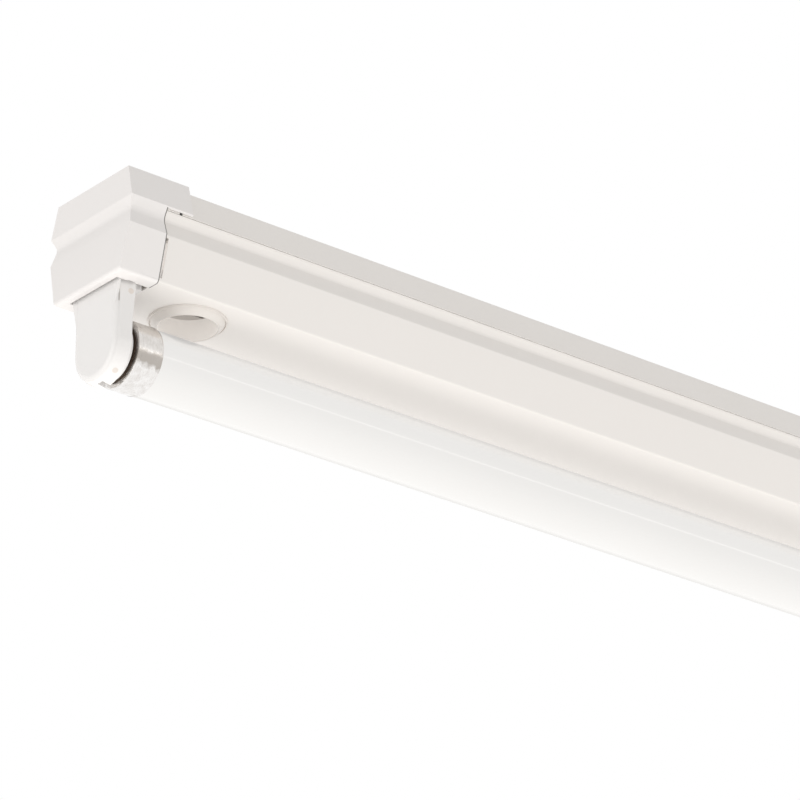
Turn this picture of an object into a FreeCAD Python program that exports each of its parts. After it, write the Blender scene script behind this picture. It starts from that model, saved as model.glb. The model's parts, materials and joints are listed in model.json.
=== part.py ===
import FreeCAD, Part
import math
import os

# Ceiling batten for one T8 fluorescent lamp, millimetres, +Z up.
# The origin is the middle of the flat top that lies against the ceiling, and X runs along the lamp.
# A folded steel spine carries the gear. A coved steel cover closes it from below, a moulded cap
# closes each end, and a rotary lampholder hangs out of an opening in each cap. The pieces of an
# end are drawn at the left end, with X counted from the plane that ends the overall length, and
# mirrored to the right.

os.makedirs("parts", exist_ok=True)
V = FreeCAD.Vector

# Driving sizes: lamp
lamp_face_length = 589.8        # 18 W lamp, from one cap's end face to the other
lamp_glass_diameter = 25.8
lamp_glass_wall = 0.8
lamp_cap_diameter = 26.2
lamp_cap_length = 10.8
lamp_cap_sheet = 0.3
insulator_thickness = 1.2
lamp_axis_drop = 63.4           # lamp axis below the ceiling
pin_spacing = 12.7
pin_diameter = 2.35
pin_length = 7.1

# Driving sizes: section of the housing
top_half_width = 21.7
upper_ridge_half_width = 24.9
upper_ridge_drop = 12.6
lower_ridge_half_width = 24.5
lower_ridge_drop = 23.6
cove_drop = 17.1                # level of the cove's corner, before it is rounded
cove_depth = 2.2
cove_radius = 4.0
bottom_half_width = 20.0
housing_drop = 41.6
bottom_edge_radius = 1.6

# Driving sizes: end cap
cap_length = 16.8
cap_wall = 1.8
cap_skin = 0.9                  # thinner wall where the cap slides over the spine
cap_top_skin = 1.5
tongue_length = 28.0
tongue_drop = 13.2
end_top_setback = 0.9           # setbacks are from the plane that ends the length
end_ridge_setback = 0.4
end_cove_depth = 1.5
end_lower_setback = 0.2
end_foot_overhang = 0.8         # how far the foot of the end stands out past that plane
lip_length = 3.0
lip_wall = 1.0
cover_travel = 5.0              # the cover's drop that its lip must let pass
holder_opening_start = 2.3
holder_opening_half_width = 14.4
latch_notch_length = 3.0
latch_notch_depth = 0.6

# Driving sizes: sheet metal
sheet = 0.6
spine_drop = 2.6
flange_inset = 1.0              # flange behind the cap's outer face
flange_drop = 13.8
return_lip = 2.5
cover_inset = 0.7
cover_top_drop = 14.0
cover_top_half_width = 24.1
cover_cove_radius = 1.5
cover_side_setback = 1.4        # bare lip beside the cover's lower band
spine_end_gap = 0.4
pad_edge_slope = 3.0
slot_width = 6.0
slot_length = 14.0
slot_from_end = 84.0
slot_pad_length = 36.0
slot_pad_width = 24.0
box_slot_width = 5.0
box_slot_length = 9.0
box_slot_spacing = 50.8
centre_pad_length = 76.0
centre_pad_width = 30.0
cable_hole_diameter = 20.0

# Driving sizes: lampholder
holder_setback = 3.5
holder_plate = 1.0
holder_depth = 6.5
holder_radius = 14.1
holder_draft = 1.2
holder_front_radius = 2.6
holder_top_drop = 27.0
holder_ear_drop = 42.0
holder_ear_end_drop = 53.0
holder_neck_half_width = 11.3
holder_slit = 0.3
holder_slit_share = 0.7         # of the sloping part of the ears
holder_foot_depth = 5.4
holder_foot_drop = 42.3
holder_foot_half_width = 12.0
holder_wedge_drop = 56.0
holder_wedge_depth = 1.2
boss_radius = 11.0
boss_height = 2.8
lamp_end_play = 1.3
rotor_radius = 9.2
rotor_gap = 0.2
rotor_groove_radius = 7.0
rotor_groove_width = 2.6
rotor_groove_share = 0.36       # where the groove starts, along the rotor
rotor_mark_depth = 0.4
rotor_mark_width = 1.0
pin_slot_width = 3.0
pin_tip_gap = 0.4

# Driving sizes: contacts and brackets
contact_thickness = 0.4
contact_width = 1.9
contact_gap = 0.15              # pin to contact when the lamp is locked
contact_reach_share = 0.3       # of the rotor's radius, below the lamp's axis
contact_top_drop = 33.0
bracket_sheet = 0.8
bracket_half_width = 13.0
bracket_foot_length = 12.0
bracket_drop = 39.5
bracket_bend_radius = 1.0

# Driving sizes: starter hole and holder
starter_from_end = 44.7
starter_bush_base_radius = 14.7
starter_bush_rim_height = 1.0
starter_bush_rim_width = 0.6
starter_bush_moat_depth = 0.6
starter_bush_lip_radius = 12.2
starter_bush_face_radius = 11.6
starter_hole_radius = 11.0
starter_bush_height = 3.1
starter_bush_dish = 0.3
starter_bush_collar = 8.6
starter_bush_wall = 1.3
starter_bush_barb = 0.5
starter_holder_length = 31.0
starter_holder_width = 28.0
starter_holder_height = 7.3
starter_holder_corner = 4.0
starter_slot_width = 5.0
starter_slot_depth = 5.0
starter_slot_half_angle = 30.0
starter_contact_thickness = 0.5
starter_contact_width = 4.0

# Driving sizes: ballast
ballast_from_centre = 45.0
ballast_room = 1.1              # ballast's base to the spine's sides
ballast_sheet = 1.0
ballast_wall_height = 9.0
core_length = 96.0
core_height = 25.0
core_window_width = 8.0
core_window_height = 15.0
core_limb_width = 12.0
core_weld_shares = (0.25, 0.75)  # of the core's length
core_weld_depth = 0.6
core_weld_width = 2.0
coil_end_length = 9.0
coil_gap = 0.3
coil_corner_radius = 6.0
ballast_terminal_length = 12.0
ballast_terminal_width = 24.0
ballast_terminal_height = 12.0

# Driving sizes: capacitor, terminals and small parts
capacitor_from_centre = 186.0
capacitor_length = 60.0
capacitor_diameter = 25.0
capacitor_rim = 0.8
capacitor_stand_off = 1.0
clip_width = 10.0
clip_sheet = 0.8
clip_opening_half_angle = 50.0
terminal_from_centre = 75.0
terminal_length = 22.0
terminal_pitch = 9.0
terminal_ways = 3
terminal_height = 13.0
terminal_tower_radius = 3.6
terminal_tower_height = 4.0
terminal_bore_radius = 2.1
terminal_screw_radius = 1.6
insert_wall = 0.7
screw_radius = 1.9
screw_length = 6.0
screw_head_radius = 3.6
screw_head_height = 2.2
screw_slot_width = 0.9
screw_slot_depth = 1.0
screw_play = 0.05
screw_tip_clearance = 0.4
earth_from_centre = 46.0
grommet_wall = 1.6
grommet_flange = 2.4
grommet_flange_height = 1.0
grommet_height = 7.0
cover_clip_width = 12.0
cover_clip_sheet = 0.5
cover_clip_relief = 0.3
cover_clip_from_centre = 105.0  # the clip between the capacitor and the terminals
cover_clip_from_end = 47.0      # the clip at the right
wire_diameter = 1.9
wire_run = 12.0                 # straight run out of a terminal
wire_shift = 16.0               # length over which a wire changes lanes
wire_reach = 150.0              # longest straight run of a wire
lane_stray = 1.2                # how far a wire wanders from its lane
lane_stray_shares = (0.0, 0.7, -0.3, 1.0, -0.8)
lane_half_width = 16.5
lane_drop = 8.5
wide_lane_play = 0.3
bend_share = 0.45               # of the shorter run, taken up by each arc
tail_fall_shares = (0.12, 0.4, 0.7)
window_fall_shares = (0.22, 0.55)

# Shared allowances
overrun = 5.0                   # how far a cutting solid runs past what it cuts
gap = 0.1                       # clearance between pieces that seat on each other
pick_tolerance = 0.001          # for finding edges by their place

# Derived places
holder_inner = holder_setback + holder_depth
boss_face = holder_inner + boss_height
lamp_face = boss_face + lamp_end_play
overall_length = lamp_face_length + 2 * lamp_face
half_length = overall_length / 2
slot_spacing = overall_length - 2 * slot_from_end
spine_under = -spine_drop - sheet
cover_start = cap_length + gap
starter_place = starter_from_end - half_length
ballast_width = 2 * (top_half_width - flange_inset - sheet - ballast_sheet - ballast_room)
pin_radius = pin_diameter / 2
pin_offset = pin_spacing / 2


def save(shape, name):
    """Write one piece and print what it holds."""
    shape.exportStep("parts/" + name + ".step")
    box_size = shape.BoundBox
    print(name, len(shape.Solids), "solids,", round(shape.Volume), "mm3, valid", shape.isValid(),
          [round(v, 2) for v in (box_size.XMin, box_size.YMin, box_size.ZMin,
                                 box_size.XMax, box_size.YMax, box_size.ZMax)])


def from_left(shape):
    """Move a shape drawn from the plane that ends the length at the left to its place."""
    return shape.translated(V(-half_length, 0, 0))


def save_pair(shape, name):
    """Save a shape drawn at the left end and its mirror image at the right end."""
    left = from_left(shape)
    save(left, name + "_left")
    save(left.mirror(V(0, 0, 0), V(1, 0, 0)), name + "_right")


def box(x_span, y_span, z_span):
    """Box between two values on each axis."""
    return Part.makeBox(x_span[1] - x_span[0], y_span[1] - y_span[0], z_span[1] - z_span[0],
                        V(x_span[0], y_span[0], z_span[0]))


def both_sides(half):
    """Span from minus to plus a half width."""
    return (-half, half)


def rod(radius, start, end):
    """Cylinder between two points."""
    return Part.makeCylinder(radius, (end - start).Length, start, end - start)


def loop(points):
    """Closed wire through points."""
    return Part.makePolygon(points + [points[0]])


def prism(points, direction):
    """Solid made by sliding a flat polygon along a direction."""
    return Part.Face(loop(points)).extrude(direction)


def along_x(points_yz, x_span):
    """Polygon of (y, z) points, extruded along X."""
    return prism([V(x_span[0], y, z) for y, z in points_yz], V(x_span[1] - x_span[0], 0, 0))


def along_y(points_xz, y_span):
    """Polygon of (x, z) points, extruded along Y."""
    return prism([V(x, y_span[0], z) for x, z in points_xz], V(0, y_span[1] - y_span[0], 0))


def revolved(points_rz, place):
    """Polygon of (radius, z) points, turned about a vertical axis at a place."""
    flat = Part.Face(loop([V(r, 0, z) for r, z in points_rz]))
    return flat.revolve(V(0, 0, 0), V(0, 0, 1), 360).translated(place)


def rounded_box(x_span, y_span, z_span, radius):
    """Box with its four vertical edges rounded."""
    block = box(x_span, y_span, z_span)
    upright = [e for e in block.Edges if e.Vertexes[0].Point.isEqual(
        V(e.Vertexes[1].Point.x, e.Vertexes[1].Point.y, e.Vertexes[0].Point.z), pick_tolerance)]
    return block.makeFillet(radius, upright)


def slot_cutter(centre, length, width, z_span):
    """Vertical cutter for a slot with round ends that runs along X."""
    half = (length - width) / 2
    cutter = box((centre.x - half, centre.x + half),
                 (centre.y - width / 2, centre.y + width / 2), z_span)
    for side in (-1, 1):
        foot = V(centre.x + side * half, centre.y, z_span[0])
        cutter = cutter.fuse(rod(width / 2, foot, foot + V(0, 0, z_span[1] - z_span[0])))
    return cutter.removeSplitter()


def bend_corner(before, corner, after, radius):
    """Start, middle and end of the arc that rounds a corner."""
    to_before = (before - corner).normalize()
    to_after = (after - corner).normalize()
    half_angle = to_before.getAngle(to_after) / 2
    reach = radius / math.tan(half_angle)
    middle = (to_before + to_after).normalize() * (radius / math.sin(half_angle) - radius)
    return corner + to_before * reach, corner + middle, corner + to_after * reach


def rounded_route(points, radii):
    """Open wire of straight runs joined by tangent arcs, one radius per inner point."""
    edges = []
    here = points[0]
    for index, radius in enumerate(radii):
        start, middle, end = bend_corner(points[index], points[index + 1], points[index + 2], radius)
        edges.append(Part.LineSegment(here, start).toShape())
        edges.append(Part.Arc(start, middle, end).toShape())
        here = end
    edges.append(Part.LineSegment(here, points[-1]).toShape())
    return Part.Wire(edges)


def section_face(ridge, lower, foot, radii, inset):
    """Section in the YZ plane: upper band, rounded V of the cove, lower band and flat bottom.

    The two radii are those of the cove and of the bottom edge. The upper band is carried on above
    the ceiling plane, so that an inset face still reaches it.
    """
    top = V(0, ridge.y - band_slope() * (overrun - ridge.z), overrun)
    cove = V(0, (ridge.y + lower.y) / 2 - cove_depth, -cove_drop)
    turns = [bend_corner(ridge, cove, lower, radii[0]),
             bend_corner(lower, foot, V(0, 0, foot.z), radii[1])]
    edges = [Part.LineSegment(turns[1][2], across(turns[1][2])).toShape(),
             Part.LineSegment(top, across(top)).toShape()]
    half = [Part.LineSegment(top, ridge), Part.LineSegment(ridge, turns[0][0]), Part.Arc(*turns[0]),
            Part.LineSegment(turns[0][2], lower), Part.LineSegment(lower, turns[1][0]),
            Part.Arc(*turns[1])]
    for curve in half:
        edges.append(curve.toShape())
        edges.append(curve.toShape().mirror(V(0, 0, 0), V(0, 1, 0)))
    return inset_face(edges, inset)


def across(point):
    """The same point on the other side of the middle plane."""
    return V(point.x, -point.y, point.z)


def band_slope():
    """How much the upper band widens per length of drop."""
    return (upper_ridge_half_width - top_half_width) / upper_ridge_drop


def side_slope():
    """How much the lower band narrows per length of drop."""
    return (lower_ridge_half_width - bottom_half_width) / (housing_drop - lower_ridge_drop)


def housing_face(inset):
    """Cross-section of the end caps, drawn in from their outer face."""
    return section_face(V(0, upper_ridge_half_width, -upper_ridge_drop),
                        V(0, lower_ridge_half_width, -lower_ridge_drop),
                        V(0, bottom_half_width, -housing_drop),
                        (cove_radius, bottom_edge_radius), inset)


def cover_face(inset):
    """Cross-section of the cover, whose lower band lies a little inside the end caps."""
    side_inset = cover_inset * math.sqrt(1 + side_slope() ** 2)
    lower = V(0, lower_ridge_half_width - side_inset, -lower_ridge_drop)
    low = -housing_drop + cover_inset
    foot = V(0, lower.y + side_slope() * (low - lower.z), low)
    return section_face(V(0, cover_top_half_width, -cover_top_drop), lower, foot,
                        (cover_cove_radius, bottom_edge_radius - cover_inset), inset)


def flange_face(inset):
    """Section that only has the upper band, carried straight on past the ridge."""
    corners = []
    for z in (overrun, -flange_drop - overrun):
        corners.append(V(0, top_half_width - band_slope() * z, z))
    points = corners + [across(corner) for corner in reversed(corners)]
    face = Part.Face(loop(points))
    return face.makeOffset2D(-inset)


def cap_end_face(inset):
    """Profile of the cap's end in the XZ plane, drawn in from its outer face."""
    far = tongue_length + overrun + cap_wall
    ridge = V(end_ridge_setback, 0, -upper_ridge_drop)
    lower = V(end_lower_setback, 0, -lower_ridge_drop)
    foot = V(-end_foot_overhang, 0, -housing_drop)
    slope = (end_top_setback - end_ridge_setback) / upper_ridge_drop
    top = V(end_top_setback + slope * overrun, 0, overrun)
    cove = V((end_ridge_setback + end_lower_setback) / 2 + end_cove_depth, 0, -cove_drop)
    turns = [bend_corner(ridge, cove, lower, cove_radius),
             bend_corner(lower, foot, V(far, 0, -housing_drop), bottom_edge_radius)]
    edges = [Part.LineSegment(top, ridge), Part.LineSegment(ridge, turns[0][0]),
             Part.Arc(*turns[0]), Part.LineSegment(turns[0][2], lower),
             Part.LineSegment(lower, turns[1][0]), Part.Arc(*turns[1]),
             Part.LineSegment(turns[1][2], V(far, 0, -housing_drop)),
             Part.LineSegment(V(far, 0, -housing_drop), V(far, 0, overrun)),
             Part.LineSegment(V(far, 0, overrun), top)]
    return inset_face([edge.toShape() for edge in edges], inset)


def inset_face(edges, inset):
    """Face inside a closed outline, drawn in by a distance."""
    face = Part.Face(Part.Wire(Part.__sortEdges__(edges)))
    if inset:
        face = face.makeOffset2D(-inset)
    return face


def slab(face, x_span, z_span):
    """A section as a solid between two X values and two levels."""
    solid = face.extrude(V(x_span[1] - x_span[0], 0, 0)).translated(V(x_span[0], 0, 0))
    return solid.common(box(x_span, both_sides(upper_ridge_half_width + overrun), z_span))


def cap_slab(inset, x_end, z_span):
    """Housing section closed by the cap's end profile, both drawn in."""
    width = upper_ridge_half_width + overrun
    end = cap_end_face(inset).extrude(V(0, 2 * width, 0)).translated(V(0, -width, 0))
    return slab(housing_face(inset), (-overrun, x_end), z_span).common(end)


def make_end_cap():
    """Moulded cap: coved on three sides, with a tongue, a joggle lip and the holder's opening."""
    bottom = -housing_drop - overrun
    block = cap_slab(0, cap_length, (bottom, 0))
    tongue = cap_slab(0, tongue_length, (-tongue_drop, 0))
    cap = block.fuse(tongue)
    inside_top = -upper_ridge_drop - gap
    hollow = cap_slab(cap_wall, cap_length + overrun, (bottom, inside_top))
    hollow = hollow.fuse(slab(housing_face(cap_skin), (cap_wall, cap_length),
                              (inside_top, -spine_drop + gap)))
    hollow = hollow.fuse(slab(flange_face(cap_skin), (cap_length, tongue_length + overrun),
                              (-tongue_drop - overrun, -spine_drop + gap)))
    cap = cap.cut(hollow).fuse(make_cap_lip()).removeSplitter()
    cap = cap.cut(make_cap_pockets())
    opening = box((holder_opening_start, cap_length + lip_length + overrun),
                  both_sides(holder_opening_half_width),
                  (-housing_drop - overrun, -housing_drop + cap_wall + lip_wall + sheet))
    cap = cap.cut(opening)
    notch_start = holder_inner - latch_notch_length
    for side in (-1, 1):
        edge = side * holder_opening_half_width
        cap = cap.cut(box((notch_start, holder_inner),
                          (min(edge, edge + side * latch_notch_depth),
                           max(edge, edge + side * latch_notch_depth)),
                          (-housing_drop - overrun, -housing_drop + cap_wall + lip_wall)))
    return cap.removeSplitter()


def make_cap_lip():
    """Joggle lip inside the cover's end, drawn in near its top so that the cover can drop."""
    inset = cover_inset + sheet + gap
    start = cap_length - cap_wall
    end = cap_length + lip_length
    levels = (-housing_drop - overrun, -lower_ridge_drop - lip_wall)
    hollow_levels = (levels[0], -lower_ridge_drop)
    root = slab(housing_face(0), (start, cap_length), levels)
    lip = passing_slab(inset, (cap_length, end), levels)
    return root.fuse(lip).cut(passing_slab(inset + lip_wall, (start, end + overrun), hollow_levels))


def passing_slab(inset, x_span, levels):
    """Inset housing section less what the dropped section would leave outside it."""
    here = slab(housing_face(inset), x_span, (levels[0], overrun))
    dropped = here.translated(V(0, 0, -cover_travel))
    return here.common(dropped).common(box(x_span, both_sides(lower_ridge_half_width), levels))


def make_cap_pockets():
    """Pockets under the cap's top that leave ribs standing on the spine."""
    rib = cap_wall
    depth = (-spine_drop, -cap_top_skin)
    width = top_half_width - 2 * cap_wall
    start = 2 * cap_wall
    end = tongue_length - cap_wall
    pocket_length = (end - start - rib) / 2
    pocket_width = (2 * width - 2 * rib) / 3
    pockets = []
    for column in range(2):
        for row in range(3):
            x = start + column * (pocket_length + rib)
            y = -width + row * (pocket_width + rib)
            pockets.append(box((x, x + pocket_length), (y, y + pocket_width), depth))
    return Part.makeCompound(pockets)


def raised_pad(centre_x, length, width, shift):
    """Pad pressed up out of the spine's back, as a frustum; shift moves its faces down."""
    low = -spine_drop - shift
    high = -shift
    slope = pad_edge_slope
    rings = []
    for level, trim in ((low, 0), (high, slope)):
        half_x = length / 2 + slope - trim
        half_y = width / 2 + slope - trim
        rings.append(loop([V(centre_x - half_x, -half_y, level), V(centre_x + half_x, -half_y, level),
                           V(centre_x + half_x, half_y, level), V(centre_x - half_x, half_y, level)]))
    return Part.makeLoft(rings, True, True)


def spine_pads():
    """Centre, length and width of each raised pad."""
    side = slot_spacing / 2
    return ((-side, slot_pad_length, slot_pad_width), (0, centre_pad_length, centre_pad_width),
            (side, slot_pad_length, slot_pad_width))


def make_spine():
    """Folded channel with raised pads, fixing slots, cable hole and screw holes."""
    end = half_length - cap_wall - spine_end_gap
    x_span = both_sides(end)
    long_span = both_sides(half_length)
    spine = slab(flange_face(flange_inset), x_span, (-flange_drop, -spine_drop))
    spine = spine.cut(slab(flange_face(flange_inset + sheet), long_span,
                           (-flange_drop + sheet, spine_under)))
    lip_edge = top_half_width + band_slope() * flange_drop - flange_inset - sheet - return_lip
    spine = spine.cut(box(long_span, both_sides(lip_edge),
                          (-flange_drop - overrun, -flange_drop + sheet)))
    for side in (-1, 1):
        inner = side * (half_length - cap_length - gap)
        outer = side * half_length
        spine = spine.cut(box((min(inner, outer), max(inner, outer)),
                              both_sides(upper_ridge_half_width),
                              (-flange_drop - overrun, -upper_ridge_drop)))
    for centre, length, width in spine_pads():
        spine = spine.fuse(raised_pad(centre, length, width, 0))
        spine = spine.cut(raised_pad(centre, length, width, sheet))
    up = (-spine_drop - overrun, overrun)
    for side in (-1, 1):
        spine = spine.cut(slot_cutter(V(side * slot_spacing / 2, 0, 0), slot_length, slot_width, up))
        spine = spine.cut(slot_cutter(V(side * box_slot_spacing / 2, 0, 0), box_slot_length,
                                      box_slot_width, up))
    spine = spine.cut(rod(cable_hole_diameter / 2, V(0, 0, up[0]), V(0, 0, up[1])))
    for name in screw_places():
        spine = spine.cut(screw_hole(name))
    return spine.removeSplitter()


def screw_places():
    """Each gear screw by name: its x and y, what its head clamps and how far its tip stays down."""
    start, end = ballast_span()
    clip_middle = -capacitor_from_centre + capacitor_length / 2
    bracket_x = half_length - bracket_plate() - bracket_foot_length / 2
    block_x = -terminal_from_centre + terminal_length / 2 + screw_head_radius + gap
    under_cap = cap_top_skin + screw_tip_clearance
    return {"ballast_left": (start + ballast_lug() / 2, 0, ballast_sheet, screw_tip_clearance),
            "ballast_right": (end - ballast_lug() / 2, 0, ballast_sheet, screw_tip_clearance),
            "capacitor_clip": (clip_middle, capacitor_clip_tab_y(), clip_sheet, screw_tip_clearance),
            "bracket_left": (-bracket_x, 0, bracket_sheet, under_cap),
            "bracket_right": (bracket_x, 0, bracket_sheet, under_cap),
            "mains_block": (block_x, 0, clip_sheet, screw_tip_clearance)}


def screw_hole(name):
    """Cutter for a gear screw's hole through the sheets that it joins."""
    x, y = screw_places()[name][:2]
    return rod(screw_radius + screw_play, V(x, y, spine_under - overrun), V(x, y, overrun))


def ballast_lug():
    """Length of base kept free for a screw at each end of the ballast."""
    return 2 * (screw_head_radius + ballast_sheet)


def bracket_plate():
    """X of the lampholder bracket's upright plate, from the cap's end."""
    return holder_inner + holder_foot_depth


def capacitor_clip_tab_y():
    """Y of the screw in the capacitor clip's side tab."""
    return -capacitor_diameter / 2 - clip_sheet - screw_head_radius - gap + capacitor_shift()


def capacitor_shift():
    """How far the capacitor lies off the centre line, to leave room for its clip's tab."""
    return screw_head_radius


def make_cover():
    """Folded, coved cover with inturned top edges, the starter hole and notched ends."""
    end = half_length - cover_start
    x_span = both_sides(end)
    long_span = both_sides(half_length)
    bottom = -housing_drop - overrun
    cover = slab(cover_face(0), x_span, (bottom, -cover_top_drop))
    cover = cover.cut(slab(cover_face(sheet), long_span, (bottom, -cover_top_drop - sheet)))
    lip_edge = cover_top_half_width - sheet - return_lip
    cover = cover.cut(box(long_span, both_sides(lip_edge), (-cover_top_drop - sheet, overrun)))
    hole = rod(starter_bush_collar_radius() + gap, V(starter_place, 0, bottom),
               V(starter_place, 0, -housing_drop + overrun))
    cover = cover.cut(hole)
    levels = (-housing_drop + cover_inset + bottom_edge_radius, -lower_ridge_drop - lip_wall)
    for side in (-1, 1):
        x_far = side * half_length
        x_cut = side * (end - cover_side_setback)
        for edge in (-1, 1):
            y_in = edge * holder_opening_half_width
            y_out = edge * (lower_ridge_half_width + overrun)
            cover = cover.cut(box((min(x_far, x_cut), max(x_far, x_cut)),
                                  (min(y_in, y_out), max(y_in, y_out)), levels))
    return cover.removeSplitter()


def starter_bush_collar_radius():
    """Outer radius of the bush's collar, which passes through the cover."""
    return starter_hole_radius + starter_bush_wall


def make_starter_bush():
    """Moulded bush: a rim, a sloping ring down to the mouth, and a collar with a barb."""
    seat = -housing_drop + cover_inset
    collar = starter_bush_collar_radius()
    lip = seat - starter_bush_height
    rim = seat - starter_bush_rim_height
    rim_inner = starter_bush_base_radius - starter_bush_rim_width
    barb_low = seat + sheet + gap
    profile = [(starter_hole_radius, lip + starter_bush_dish),
               (starter_bush_face_radius, lip),
               (starter_bush_lip_radius, lip + starter_bush_dish),
               (rim_inner, rim + starter_bush_moat_depth),
               (rim_inner, rim),
               (starter_bush_base_radius - starter_bush_rim_width / 3, rim),
               (starter_bush_base_radius, seat),
               (collar, seat),
               (collar, barb_low),
               (collar + starter_bush_barb, barb_low),
               (collar, barb_low + 2 * starter_bush_barb),
               (collar, lip + starter_bush_dish + starter_bush_collar),
               (starter_hole_radius, lip + starter_bush_dish + starter_bush_collar)]
    return revolved(profile, V(starter_place, 0, 0))


def holder_outline(x, radius, top):
    """D-shaped outline round the lamp's axis, open flank up to a flat top."""
    axis = -lamp_axis_drop
    points = (V(x, radius, top), V(x, radius, axis), V(x, 0, axis - radius), V(x, -radius, axis),
              V(x, -radius, top))
    return Part.Wire([Part.LineSegment(points[0], points[1]).toShape(),
                      Part.Arc(points[1], points[2], points[3]).toShape(),
                      Part.LineSegment(points[3], points[4]).toShape(),
                      Part.LineSegment(points[4], points[0]).toShape()])


def holder_shell():
    """Outside of the lampholder: drafted body with a rounded front, ears, wedge, foot and boss."""
    top = -holder_top_drop
    front = holder_outline(holder_setback, holder_radius - holder_draft, top)
    back = holder_outline(holder_inner, holder_radius, top)
    body = Part.makeLoft([front, back], True, True)
    front_edges = [e for e in body.Edges
                   if abs(e.BoundBox.XMax - holder_setback) < pick_tolerance
                   and e.BoundBox.ZMin < top - gap]
    return body.makeFillet(holder_front_radius, front_edges)


def make_holder_pieces():
    """Lampholder body with its rotor bore, and the plate with ears that closes its outer side."""
    top = -holder_top_drop
    axis = -lamp_axis_drop
    plate_back = holder_setback + holder_plate
    shell = holder_shell()
    plate = shell.common(box((0, plate_back), both_sides(holder_radius + overrun),
                             (axis - holder_radius - overrun, top)))
    ear = [(holder_radius, top), (holder_radius, -holder_ear_drop),
           (holder_neck_half_width, -holder_ear_end_drop), (holder_neck_half_width, top)]
    for side in (-1, 1):
        plate = plate.fuse(along_x([(side * y, z) for y, z in ear], (holder_setback, plate_back)))
    plate = plate.removeSplitter()

    body = shell.cut(box((0, plate_back), both_sides(holder_radius + overrun),
                         (axis - holder_radius - overrun, top + overrun)))
    wedge = [(holder_inner - gap, top), (holder_inner + holder_wedge_depth, top),
             (holder_inner + holder_wedge_depth, -holder_ear_drop),
             (holder_inner, -holder_wedge_drop), (holder_inner - gap, -holder_wedge_drop)]
    body = body.fuse(along_y(wedge, both_sides(holder_radius)))
    foot_box = rounded_box((holder_inner - gap, holder_inner + holder_foot_depth),
                           both_sides(holder_foot_half_width), (-holder_foot_drop, top),
                           holder_foot_depth / 9)
    body = body.fuse(foot_box)
    body = body.fuse(rod(boss_radius, V(holder_inner - gap, 0, axis), V(boss_face, 0, axis)))
    slit_levels = (-holder_ear_drop - holder_ear_length() * holder_slit_share, top + overrun)
    for side in (-1, 1):
        outer = side * (holder_radius + overrun)
        inner = side * (holder_radius - holder_draft)
        body = body.cut(box((plate_back - overrun, plate_back + holder_slit),
                            (min(outer, inner), max(outer, inner)), slit_levels))
    bore_start = plate_back
    body = body.cut(rod(rotor_radius + rotor_gap, V(bore_start - gap, 0, axis),
                        V(boss_face + overrun, 0, axis)))
    slot_start = lamp_face - pin_length - pin_tip_gap
    body = body.cut(box((slot_start, boss_face + overrun), both_sides(pin_slot_width / 2),
                        (axis - holder_radius - overrun, axis)))
    body = body.cut(contact_channels())
    return plate, body.removeSplitter()


def holder_ear_length():
    """Height of the sloping part of the plate's ears."""
    return holder_ear_end_drop - holder_ear_drop


def rotor_span():
    """Start and end of the rotor along X, from the cap's end."""
    return holder_setback + holder_plate + rotor_gap, boss_face - rotor_gap


def groove_span():
    """Start and end of the rotor's groove, where the contacts reach the pins."""
    start, end = rotor_span()
    groove_start = start + rotor_groove_share * (end - start)
    return groove_start, groove_start + rotor_groove_width


def contact_y():
    """Inner face of a contact, just outside a locked pin."""
    return pin_offset + pin_radius + contact_gap


def contact_span():
    """Start and end of a contact along X, centred in the rotor's groove."""
    start, end = groove_span()
    middle = (start + end) / 2
    return middle - contact_width / 2, middle + contact_width / 2


def contact_channels():
    """Channels in the body that hold the two contacts above the rotor."""
    start, end = contact_span()
    channels = []
    for side in (-1, 1):
        inner = side * (contact_y() - gap)
        outer = side * (contact_y() + contact_thickness + gap)
        channels.append(box((start - gap, end + gap), (min(inner, outer), max(inner, outer)),
                            (-lamp_axis_drop, -holder_top_drop + overrun)))
        y = side * (contact_y() + contact_thickness / 2)
        middle = (start + end) / 2
        channels.append(rod(wire_bore_radius(), V(middle, y, -contact_top_drop),
                            V(middle, y, -holder_top_drop + overrun)))
    return Part.makeCompound(channels)


def wire_bore_radius():
    """Radius of a moulded entry that takes one wire."""
    return wire_diameter / 2 + gap


def make_contacts():
    """Two sprung strips that reach down into the rotor's groove."""
    start, end = contact_span()
    low = -lamp_axis_drop - contact_reach_share * rotor_radius
    strips = []
    for side in (-1, 1):
        inner = side * contact_y()
        outer = side * (contact_y() + contact_thickness)
        strips.append(box((start, end), (min(inner, outer), max(inner, outer)),
                          (low, -contact_top_drop)))
    return Part.makeCompound(strips)


def make_rotor():
    """Rotor with a slot right across for the pins, a groove for the contacts and two marks."""
    start, end = rotor_span()
    axis = -lamp_axis_drop
    rotor = rod(rotor_radius, V(start, 0, axis), V(end, 0, axis))
    groove_start, groove_end = groove_span()
    ring = rod(rotor_radius + overrun, V(groove_start, 0, axis), V(groove_end, 0, axis))
    ring = ring.cut(rod(rotor_groove_radius, V(groove_start, 0, axis), V(groove_end, 0, axis)))
    rotor = rotor.cut(ring)
    slot_start = lamp_face - pin_length - pin_tip_gap
    rotor = rotor.cut(box((slot_start, end + overrun), both_sides(pin_slot_width / 2),
                          (axis - rotor_radius - overrun, axis + rotor_radius + overrun)))
    for side in (-1, 1):
        inner = side * pin_slot_width
        outer = side * rotor_radius
        rotor = rotor.cut(box((end - rotor_mark_depth, end + overrun),
                              (min(inner, outer), max(inner, outer)),
                              (axis - rotor_mark_width / 2, axis + rotor_mark_width / 2)))
    return rotor.removeSplitter()


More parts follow.
